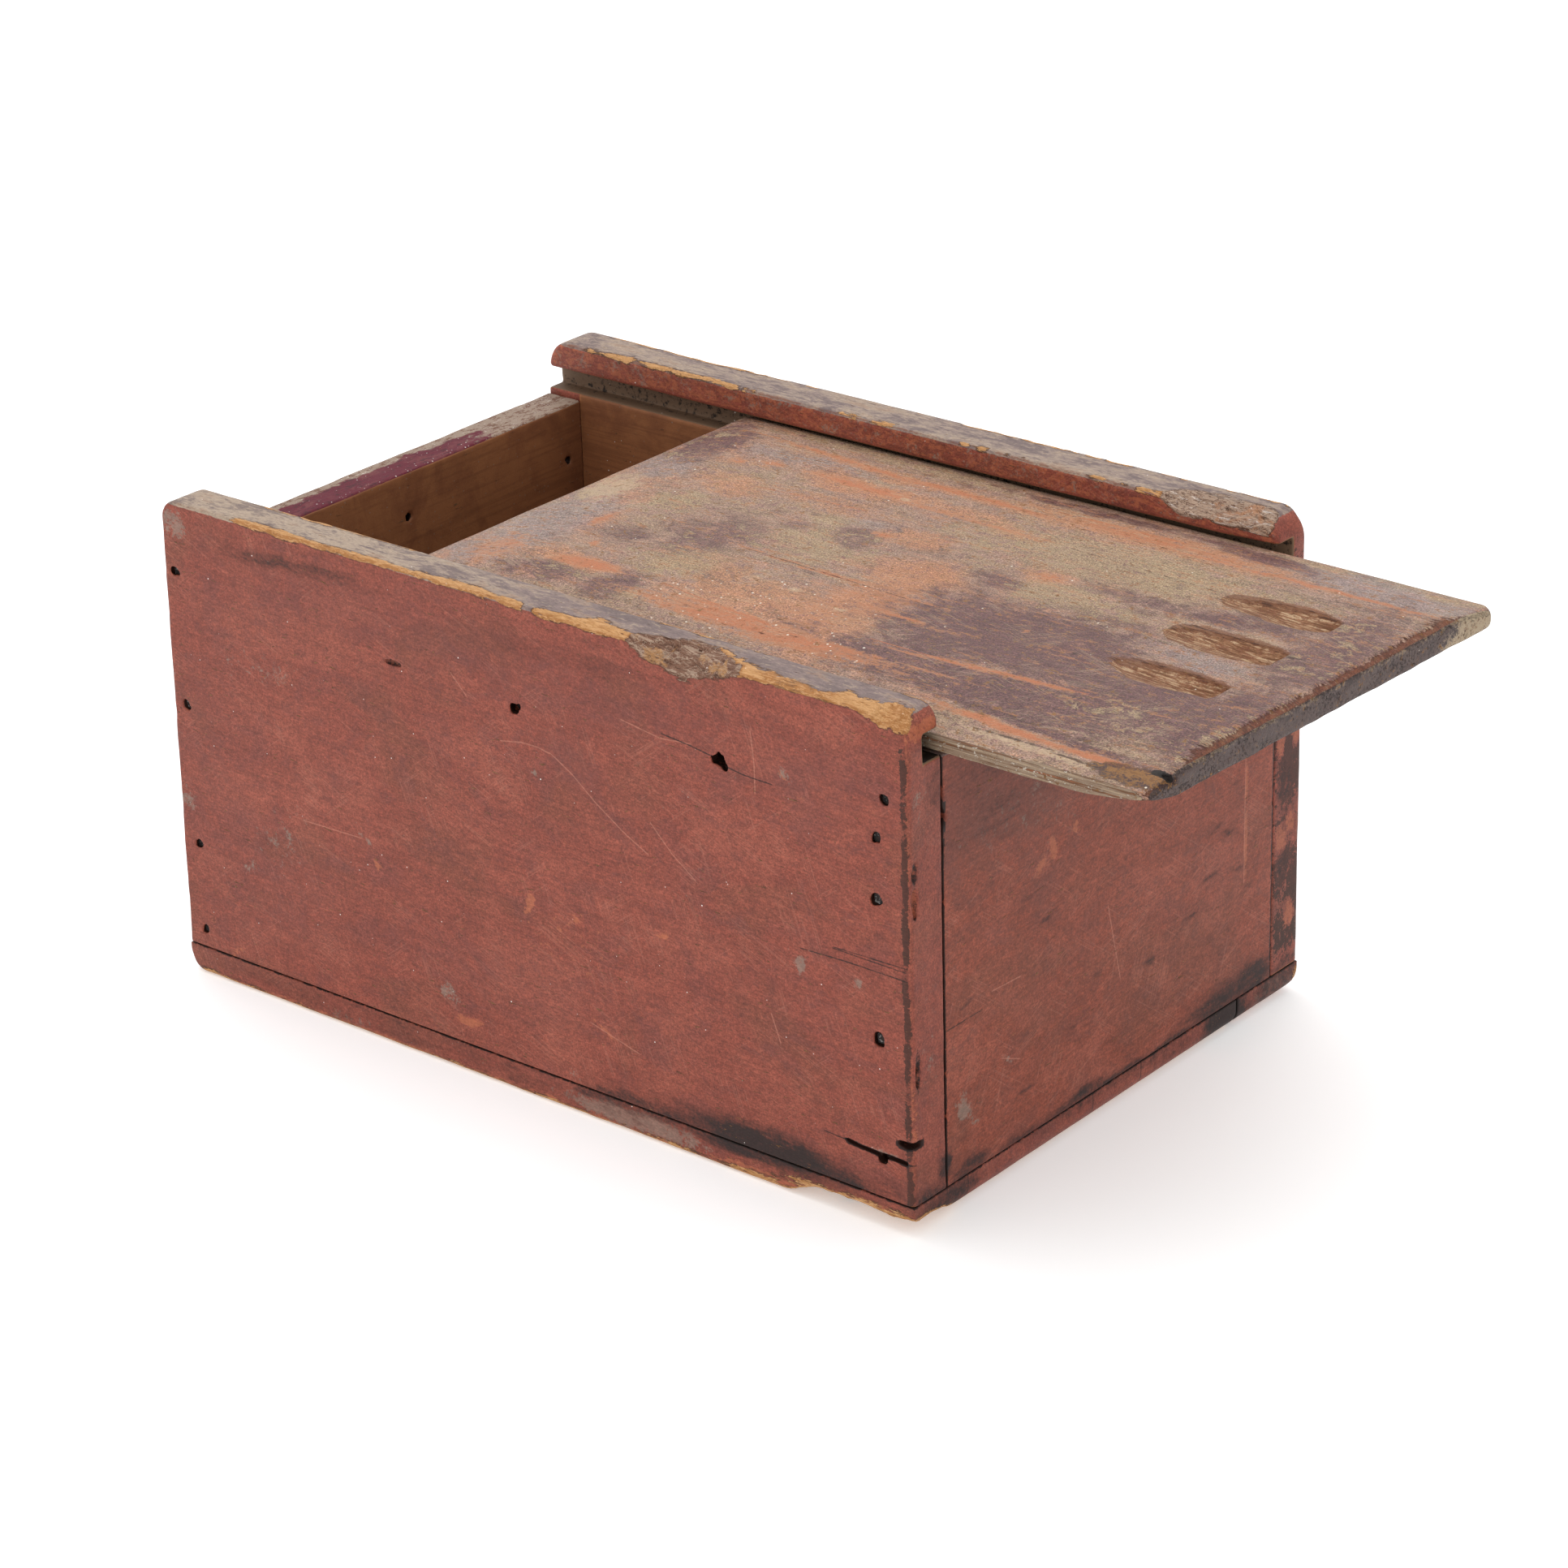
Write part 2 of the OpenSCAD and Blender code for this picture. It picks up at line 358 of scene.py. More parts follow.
def mesh_object(name: str, points: Array, quads: Array, marks: Marks) -> bpy.types.Object:
    """A linked mesh object at the origin, from points in mm, with a float attribute for each mark.

    Args:
        name: The piece's name.
        points: Points in mm.
        quads: Faces, as rows of point numbers.
        marks: One number per point for each named mark.

    Returns:
        The object, in metres.
    """
    mesh = bpy.data.meshes.new(name)
    mesh.from_pydata((points * MM).tolist(), [], quads.tolist())
    for mark, values in marks.items():
        layer = mesh.attributes.new(mark, "FLOAT", "POINT")
        layer.data.foreach_set("value", np.ascontiguousarray(values, np.float32))
    mesh.polygons.foreach_set("use_smooth", [True] * len(mesh.polygons))
    mesh.update()
    piece = bpy.data.objects.new(name, mesh)
    bpy.context.scene.collection.objects.link(piece)
    return piece


# --- Nodes: one function adds a node, and the rest of the file lays patterns with it ---


def add(tree: Tree, kind: str, links: dict | None = None, **settings) -> bpy.types.Node:
    """Adds a node.

    Args:
        tree: The node tree.
        kind: The node's type name.
        links: For each input, by name or number, a socket to link or a value to set.
        settings: The node's own settings.

    Returns:
        The node.
    """
    node = tree.nodes.new(kind)
    for name, value in settings.items():
        setattr(node, name, value)
    for name, value in (links or {}).items():
        if isinstance(value, Socket):
            tree.links.new(value, node.inputs[name])
        else:
            node.inputs[name].default_value = value
    return node


def linear(code: str) -> tuple[float, float, float, float]:
    """An sRGB hex colour as linear red, green, blue and alpha."""
    parts = [int(code[i : i + 2], 16) / 255 for i in (1, 3, 5)]
    return (*((c / 12.92 if c <= 0.04045 else ((c + 0.055) / 1.055) ** 2.4) for c in parts), 1.0)


class Coat:
    """Lays the layers of one finish over each other in a material's node tree."""

    def __init__(self, name: str, ground: str, roughness: float) -> None:
        """Starts a material.

        Args:
            name: The material's name.
            ground: The colour underneath, as hex.
            roughness: The roughness underneath.
        """
        self.material = bpy.data.materials.new(name)
        self.material.use_nodes = True
        self.tree = self.material.node_tree
        self.tree.nodes.clear()
        self.place = add(self.tree, "ShaderNodeTexCoord").outputs["Object"]
        self.colour = add(self.tree, "ShaderNodeRGB").outputs[0]
        self.colour.default_value = linear(ground)
        self.roughness = add(self.tree, "ShaderNodeValue").outputs[0]
        self.roughness.default_value = roughness
        self.height = None
        self.seed = 0

    def mark(self, name: str) -> Socket:
        """A mark stored on the mesh."""
        return add(self.tree, "ShaderNodeAttribute", attribute_name=name).outputs["Fac"]

    def pattern(self, size: float | tuple, detail: float = 3.0, rough: float = 0.55,
                turn: tuple = (0, 0, 0), warp: float = 0.0) -> Socket:
        """Noise, from 0 to 1, whose features have a real size.

        Args:
            size: The size of its features, in mm: one number, or one each along x, y and z.
            detail: How many finer layers it has.
            rough: How strong the finer layers are.
            turn: Its turn about x, y and z, in degrees.
            warp: How much it folds back on itself.

        Returns:
            The noise.
        """
        self.seed += 1
        spot = add(self.tree, "ShaderNodeMapping", {
            "Vector": self.place,
            "Rotation": tuple(math.radians(t) for t in turn),
            "Location": (0.137 * self.seed, 0.211 * self.seed, -0.073 * self.seed),
            "Scale": tuple(s * MM for s in triple(size)),
        }, vector_type="TEXTURE")
        return add(self.tree, "ShaderNodeTexNoise", {
            "Vector": spot.outputs[0], "Scale": 1.0, "Detail": detail, "Roughness": rough,
            "Distortion": warp,
        }).outputs["Fac"]

    def mask(self, low: float, high: float, *terms: tuple) -> Socket:
        """Where a weighted sum of patterns and marks passes from low to high.

        Args:
            low: The sum at which the mask is 0.
            high: The sum at which it is 1.
            terms: Pairs of a socket and its weight.

        Returns:
            The mask, from 0 to 1.
        """
        total = 0.0
        for socket, weight in terms:
            total = add(self.tree, "ShaderNodeMath", {0: socket, 1: weight, 2: total},
                        operation="MULTIPLY_ADD").outputs[0]
        return add(self.tree, "ShaderNodeMapRange", {
            "Value": total, "From Min": low, "From Max": high,
        }, interpolation_type="SMOOTHSTEP").outputs[0]

    def ragged(self, low: float, high: float, core: Socket | str | tuple, *frays: tuple) -> Socket:
        """A mask round a core, whose rim is frayed by patterns.

        Args:
            low: The sum at which the mask is 0.
            high: The sum at which it is 1.
            core: A socket, the name of a mark, or a pair of a socket and its weight.
            frays: Pairs of a pattern and how far it moves the rim.

        Returns:
            The mask, from 0 to 1.
        """
        if isinstance(core, str):
            core = self.mark(core)
        if not isinstance(core, tuple):
            core = (core, 1)
        middle = (0.5, -sum(weight for _, weight in frays))
        return self.mask(low, high, core, *frays, middle)

    def both(self, *masks: Socket) -> Socket:
        """Where all the masks are, as their product.

        Args:
            masks: The masks, from 0 to 1.

        Returns:
            Their product.
        """
        total = masks[0]
        for mask in masks[1:]:
            total = add(self.tree, "ShaderNodeMath", {0: total, 1: mask}, operation="MULTIPLY").outputs[0]
        return total

    def specks(self, spacing: float, radius: float, share: float) -> Socket:
        """Small round specks, one at most in each cell.

        Args:
            spacing: The size of a cell, in mm.
            radius: The largest speck's radius, in mm.
            share: The share of cells that hold a speck.

        Returns:
            The mask of the specks.
        """
        self.seed += 1
        spot = add(self.tree, "ShaderNodeMapping", {
            "Vector": self.place, "Location": (0.31 * self.seed, 0.17 * self.seed, 0.53 * self.seed),
        })
        cell = add(self.tree, "ShaderNodeTexVoronoi", {
            "Vector": spot.outputs[0], "Scale": 1 / (spacing * MM),
        })
        lot = add(self.tree, "ShaderNodeSeparateColor", {"Color": cell.outputs["Color"]})
        reach = add(self.tree, "ShaderNodeMapRange", {
            "Value": lot.outputs[0], "From Min": 1 - share, "From Max": 1.0,
            "To Min": 0.0, "To Max": radius / spacing,
        })
        room = add(self.tree, "ShaderNodeMath", {0: reach.outputs[0], 1: cell.outputs["Distance"]},
                   operation="SUBTRACT")
        return add(self.tree, "ShaderNodeMapRange", {
            "Value": room.outputs[0], "From Min": 0.0, "From Max": 0.15 / spacing,
        }).outputs[0]

    def lay(self, code: str, mask: Socket, strength: float = 1.0,
            roughness: float | None = None) -> None:
        """Lays a colour over what is there.

        Args:
            code: The colour, as hex.
            mask: Where it lies.
            strength: How much it covers.
            roughness: Its roughness, where it differs.
        """
        cover = add(self.tree, "ShaderNodeMath", {0: mask, 1: strength}, operation="MULTIPLY").outputs[0]
        self.colour = add(self.tree, "ShaderNodeMix", {0: cover, 6: self.colour, 7: linear(code)},
                          data_type="RGBA").outputs[2]
        if roughness is not None:
            self.roughness = add(self.tree, "ShaderNodeMix", {0: cover, 2: self.roughness, 3: roughness},
                                 data_type="FLOAT").outputs[0]

    def stack(self, where: Socket, *rows: tuple) -> None:
        """Lays several colours over each other, each where its pattern passes from low to high.

        Args:
            where: The mask that all of them keep to.
            rows: For each its colour, low, high, its pattern and how much it covers.
        """
        for code, low, high, pattern, cover in rows:
            self.lay(code, self.both(where, self.mask(low, high, (pattern, 1))), cover)

    def vary(self, pattern: Socket, reach: float, amount: float) -> None:
        """Darkens where a pattern is high and lightens where it is low, and keeps the hue.

        Args:
            pattern: The pattern.
            reach: How far from its middle value it has its whole effect.
            amount: The share of light that it takes or gives.
        """
        factor = add(self.tree, "ShaderNodeMapRange", {
            "Value": pattern, "From Min": 0.5 - reach, "From Max": 0.5 + reach,
            "To Min": 1 + amount, "To Max": 1 - amount,
        }).outputs[0]
        self.colour = add(self.tree, "ShaderNodeVectorMath", {0: self.colour, "Scale": factor},
                          operation="SCALE").outputs[0]

    def lift(self, pattern: Socket, height: float) -> None:
        """Raises the surface by a pattern, by up to height in mm."""
        self.height = add(self.tree, "ShaderNodeMath", {
            0: pattern, 1: height, 2: self.height if self.height is not None else 0.0,
        }, operation="MULTIPLY_ADD").outputs[0]

    def done(self, specular: float, glow: float = 0.0) -> Material:
        """Ends the tree in one Principled shader.

        Args:
            specular: Its specular level.
            glow: How strongly it shines white.

        Returns:
            The finished material.
        """
        links = {
            "Base Color": self.colour, "Roughness": self.roughness, "Specular IOR Level": specular,
            "Emission Color": (1.0, 1.0, 1.0, 1.0), "Emission Strength": glow,
        }
        if self.height is not None:
            links["Normal"] = add(self.tree, "ShaderNodeBump", {
                "Height": self.height, "Strength": 1.0, "Distance": MM,
            }).outputs[0]
        shader = add(self.tree, "ShaderNodeBsdfPrincipled", links)
        add(self.tree, "ShaderNodeOutputMaterial", {"Surface": shader.outputs[0]})
        return self.material


# --- Finishes ---


@dataclass(frozen=True)
class OldRedPaint:
    """Iron-oxide milk paint, brushed thin on pine and handled for generations.

    It gives the eye a dry brick brown-red in soft clouds, gritty up close, rubbed to orange on its high
    spots, greyed by dust and blackened along the seams. Its pits, holes, slits and narrow gaps are
    painted near-black inside as painted shade. Its tops are worn to a waxy grey-purple, and where the
    wood is broken away the pine shows straw-yellow with dark, ragged rims.
    """

    name: str
    grain: Axis
    # The turn of the brush's strokes about the board's own face, in degrees
    brush: tuple = (0, 4, 0)
    ground: str = "#814032"
    light: str = "#945140"
    dark: str = "#5f2f24"
    plum: str = "#693a35"
    umber: str = "#70402f"
    scuff: str = "#ad6f5c"
    flake: str = "#37241d"
    rub: str = "#b06545"
    dust: str = "#86786c"
    soot: str = "#251e1d"
    seam: str = "#19120f"
    speck: str = "#f2e9e2"
    pine: str = "#c2905c"
    pale_pine: str = "#d8a776"
    old_pine: str = "#a36c3a"
    bark: str = "#46291b"
    torn_wood: str = "#7d5a49"
    splinter: str = "#b89d88"
    raw: str = "#ab7047"
    raw_dark: str = "#5f3824"
    groove_grey: str = "#6d5a48"
    wax: str = "#7b6965"
    wax_tan: str = "#a8947f"
    wax_dark: str = "#625250"
    magenta: str = "#5a0622"
    magenta_dark: str = "#2c1014"
    magenta_worn: str = "#8a5a50"
    rough_top: str = "#937f6e"
    # Near-black painted shade for the inside of pits, holes and slits
    hole: str = "#120d0b"

    def make(self) -> Material:
        """Builds the material.

        Returns:
            The material.
        """
        coat = Coat(self.name, self.ground, 0.55)
        self.paint(coat)
        self.marks(coat)
        self.tops(coat)
        bare = self.wood(coat)
        ragged = coat.pattern(2.2, 4, 0.75)
        coat.lay(self.seam, coat.ragged(0.5, 0.8, "seam", (ragged, 2.4)), 0.92)
        # The pits, holes and slits are painted near-black inside: painted shade that makes them read deep
        coat.lay(self.hole, coat.ragged(0.4, 0.7, "pit", (ragged, 1.2)), 0.92)
        coat.lay(self.speck, coat.specks(3.5, 0.3, 0.5), 0.95)
        coat.lay(self.dust, coat.specks(2.6, 0.33, 0.3), 0.35)
        coat.lay(self.soot, coat.specks(5.5, 0.34, 0.3), 0.55)
        coat.lift(bare, -0.3)
        return coat.done(0.26)

    def paint(self, coat: Coat) -> None:
        """The paint itself: soft clouds, fine mottling, grit, brushed streaks and rubs.

        Args:
            coat: The finish so far.
        """
        clouds = coat.pattern(self.grain.along(52, 34), 3, 0.55, warp=0.6)
        bloom = coat.pattern(self.grain.along(21, 15), 5, 0.62, warp=0.8)
        mottle = coat.pattern(self.grain.along(5.0, 4.0), 5, 0.72, self.brush, 0.4)
        grain = coat.pattern(1.5, 3, 0.7)
        grit = coat.pattern(0.55, 2, 0.6)
        streak = coat.pattern(self.grain.along(46, 0.9), 3, 0.6)
        for pattern, darker, lighter, reach, cover in (
            (clouds, self.umber, self.light, 0.16, 0.45), (bloom, self.plum, self.light, 0.15, 0.38),
            (mottle, self.plum, self.light, 0.15, 0.14), (grain, self.dark, self.light, 0.16, 0.06),
        ):
            coat.lay(darker, coat.mask(0.5, 0.5 + reach, (pattern, 1)), cover)
            coat.lay(lighter, coat.mask(0.5, 0.5 - reach, (pattern, 1)), cover * 0.8)
        for pattern, reach, amount in (
            (mottle, 0.16, 0.09), (grain, 0.17, 0.12), (grit, 0.18, 0.26), (streak, 0.15, 0.09),
        ):
            coat.vary(pattern, reach, amount)
        stains = coat.pattern(self.grain.along(15, 8), 5, 0.75, self.brush, 0.5)
        coat.lay(self.plum, coat.mask(0.54, 0.66, (stains, 0.8), (grain, 0.2)), 0.42, 0.5)
        rubs = coat.pattern(self.grain.along(4, 2.4), 5, 0.78, self.brush, 0.5)
        coat.lay(self.scuff, coat.mask(0.66, 0.74, (rubs, 0.8), (grit, 0.2)), 0.3)
        coat.lay(self.dark, coat.specks(1.7, 0.3, 0.35), 0.15)
        coat.lay(self.scuff, coat.specks(1.9, 0.3, 0.5), 0.18)
        coat.lay(self.rub, coat.ragged(0.42, 0.7, (coat.mark("orange"), 0.85), (rubs, 2.0), (grain, 1.0)),
                 0.6)
        coat.lay(self.rub, coat.ragged(0.4, 0.9, "depth", (rubs, 2.0)), 0.32)
        for turn, spare in ((24, 0.53), (-37, 0.55), (71, 0.56)):
            tilt = (0, turn, 0) if self.grain is Axis.X else (turn, 0, 0)
            hair = coat.pattern(self.grain.along(34, 0.45), 1.0, 0.4, tilt)
            sparse = coat.pattern(16, 2, 0.5)
            middle = (0.5, -2 * spare + 0.14)
            coat.lay(self.scuff, coat.mask(0.69, 0.75, (hair, 1), (sparse, 0.9), middle), 0.2)
        coat.lift(mottle, 0.1)
        coat.lift(grain, 0.07)
        coat.lift(streak, 0.06)

    def tops(self, coat: Coat) -> None:
        """The waxy grey-purple of the upward edges, streaked with tan.

        Args:
            coat: The finish so far.
        """
        cloud = coat.pattern(self.grain.along(17, 6), 5, 0.7, warp=0.4)
        fleck = coat.pattern(self.grain.along(4.2, 1.5), 4, 0.72)
        grain = coat.pattern(self.grain.along(1.4, 0.6), 2, 0.6)
        top = coat.ragged(0.35, 0.6, "patina", (fleck, 1))
        coat.lay(self.wax, top, 0.96, 0.5)
        bleach = coat.ragged(0.2, 0.85, "bleach", (cloud, 2.0))
        coat.lay(self.wax_tan, coat.both(top, bleach), 0.75)
        coat.stack(
            top, (self.wax_tan, 0.53, 0.62, cloud, 0.4), (self.wax_dark, 0.48, 0.4, cloud, 0.6),
            (self.wax_tan, 0.56, 0.63, fleck, 0.6), (self.wax_dark, 0.46, 0.38, fleck, 0.55),
            (self.umber, 0.56, 0.64, cloud, 0.35),
        )
        coat.vary(grain, 0.16, 0.16)
        worn = coat.ragged(0.25, 0.75, "depth", (fleck, 2.2))
        coat.lay(self.umber, coat.both(top, worn), 0.75)
        rough = coat.ragged(0.4, 0.6, "rough", (fleck, 1))
        coat.lay(self.rough_top, rough, 0.85, 0.66)
        coat.lay(self.raw_dark, coat.both(rough, coat.mask(0.49, 0.57, (fleck, 0.7), (grain, 0.3))), 0.85)
        coat.lay(self.speck, coat.both(rough, coat.mask(0.56, 0.66, (grain, 0.6), (cloud, 0.4))), 0.45)
        film = coat.pattern(self.grain.along(6, 3), 5, 0.75)
        coat.lay(self.magenta, coat.ragged(0.35, 0.6, "magenta", (film, 1.6)), 0.95, 0.7)
        painted = coat.mask(0.4, 0.6, (coat.mark("magenta"), 1))
        thick = coat.mask(0.5, 0.4, (fleck, 0.6), (film, 0.4))
        thin = coat.mask(0.52, 0.6, (cloud, 0.6), (fleck, 0.4))
        coat.lay(self.magenta_dark, coat.both(painted, thick), 0.6)
        coat.lay(self.magenta_worn, coat.both(painted, thin), 0.22)
        coat.lay(self.speck, coat.both(painted, coat.specks(1.3, 0.35, 0.6)), 0.6)

    def marks(self, coat: Coat) -> None:
        """Films, smears, soot, scratches and cracks where the mesh says they are.

        Args:
            coat: The finish so far.
        """
        film = coat.pattern(4.2, 5, 0.78, self.brush, 0.4)
        fine = coat.pattern(1.1, 3, 0.7)
        smoke = coat.pattern(self.grain.along(12, 3.0), 5, 0.7, self.brush)
        for name, colour, low, high, film_weight, fine_weight, cover, rough in (
            ("purple", self.plum, 0.1, 1.1, 2.0, 0.6, 0.5, 0.5),
            ("grey", self.dust, 0.4, 0.75, 2.4, 1.2, 0.6, 0.65),
            ("flake", self.flake, 0.42, 0.52, 3.4, 1.8, 0.93, 0.6),
        ):
            where = coat.mask(low, high, (coat.mark(name), 0.95), (film, film_weight), (fine, fine_weight),
                              (0.5, -film_weight - fine_weight))
            coat.lay(colour, coat.both(where, coat.mask(0.02, 0.2, (coat.mark(name), 1))), cover, rough)
        soot = coat.mark("soot")
        coat.lay(self.dark, coat.ragged(0.0, 0.8, soot, (smoke, 1.2), (fine, 0.5)), 0.65, 0.6)
        coat.lay(self.soot, coat.ragged(0.3, 1.1, soot, (smoke, 1.4), (fine, 0.9)), 0.93, 0.62)
        for name, colour, cover, width in (
            ("scratch", self.scuff, 0.6, 0.32), ("crack", self.seam, 0.85, 0.34),
        ):
            gap = add(coat.tree, "ShaderNodeMath", {0: coat.mark(name)}, operation="ABSOLUTE").outputs[0]
            line = coat.ragged(width, 0.08, gap, (fine, -0.5))
            broken = coat.ragged(0.2, 0.5, name + "_on", (film, 1.4))
            coat.lay(colour, coat.both(line, broken), cover)

    def wood(self, coat: Coat) -> Socket:
        """Bare pine: straw-yellow where it is freshly broken, brown where it has always been bare.

        Args:
            coat: The finish so far.

        Returns:
            Where the wood is broken.
        """
        torn = coat.pattern(self.grain.along(7, 1.0), 4, 0.7)
        shred = coat.pattern(self.grain.along(2.6, 0.7), 3, 0.65, warp=1.0)
        wood = coat.pattern(self.grain.along(38, 1.5), 4, 0.62)
        stain = coat.pattern(17, 4, 0.65, warp=0.6)
        dirt, bare_mark = coat.mark("dirt"), coat.mark("bare")
        raw = coat.mask(0.4, 0.6, (coat.mark("raw"), 1))
        coat.lay(self.raw, raw, 1.0, 0.62)
        coat.stack(
            raw, (self.raw_dark, 0.49, 0.62, wood, 0.28), (self.rub, 0.5, 0.66, stain, 0.2),
            (self.raw_dark, 0.5, 0.3, stain, 0.4), (self.raw_dark, 0.53, 0.64, shred, 0.15),
        )
        coat.lay(self.raw_dark, coat.both(raw, coat.ragged(0.1, 0.75, dirt, (stain, 1.0))), 0.75)
        coat.lay(self.groove_grey, coat.both(raw, coat.mask(0.62, 0.7, (dirt, 1))), 0.8)
        coat.lay(self.dust, coat.both(raw, coat.specks(2.6, 0.4, 0.4)), 0.6)
        rim = coat.ragged(0.05, 0.32, bare_mark, (torn, 1.4), (shred, 1.2))
        near = coat.mask(0.01, 0.1, (bare_mark, 1))
        coat.lay(self.bark, coat.both(rim, near, coat.mask(0.42, 0.52, (stain, 0.6), (torn, 0.4))), 0.85)
        broken = coat.ragged(0.42, 0.56, bare_mark, (torn, 2.2), (shred, 1.2))
        coat.lay(self.pine, broken, 0.97, 0.66)
        coat.lay(self.old_pine, coat.both(broken, coat.ragged(0.12, 0.4, dirt, (torn, 1.2))), 0.8)
        strip = coat.pattern(self.grain.along(12, 1.9), 5, 0.7, (0, 9, 0), 1.2)
        curl = coat.pattern((7, 4, 4), 4, 0.6, warp=2.2)
        # Lines along a folded pattern's level curves, as pulled fibres and the creases between them
        fibre, crease = (
            add(coat.tree, "ShaderNodeMath", {0: curl, 1: level, 2: 0.011}, operation="COMPARE").outputs[0]
            for level in (0.5, 0.455)
        )
        gouged = coat.both(broken, coat.ragged(0.8, 1.2, dirt, (torn, 1.4)))
        chewed = coat.both(gouged, coat.mark("rough"))
        coat.stack(
            broken, (self.pale_pine, 0.48, 0.6, shred, 0.55), (self.old_pine, 0.47, 0.38, shred, 0.3),
            (self.old_pine, 0.54, 0.62, torn, 0.45), (self.bark, 0.64, 0.68, torn, 0.7),
        )
        coat.lay(self.torn_wood, gouged, 0.96)
        coat.stack(
            gouged, (self.splinter, 0.54, 0.6, strip, 0.75), (self.bark, 0.46, 0.4, strip, 0.7),
            (self.pine, 0.56, 0.61, stain, 0.6), (self.bark, 0.44, 0.38, shred, 0.35),
        )
        coat.lay(self.splinter, chewed, 0.75)
        coat.stack(
            chewed, (self.raw_dark, 0.47, 0.41, shred, 0.75), (self.raw, 0.53, 0.6, stain, 0.6),
            (self.speck, 0.56, 0.64, torn, 0.5),
        )
        coat.lay(self.splinter, coat.both(gouged, fibre), 0.8)
        coat.lay(self.bark, coat.both(chewed, crease), 0.8)
        coat.lift(coat.both(broken, torn), 1.1)
        coat.lift(coat.both(gouged, shred), 0.8)
        return broken


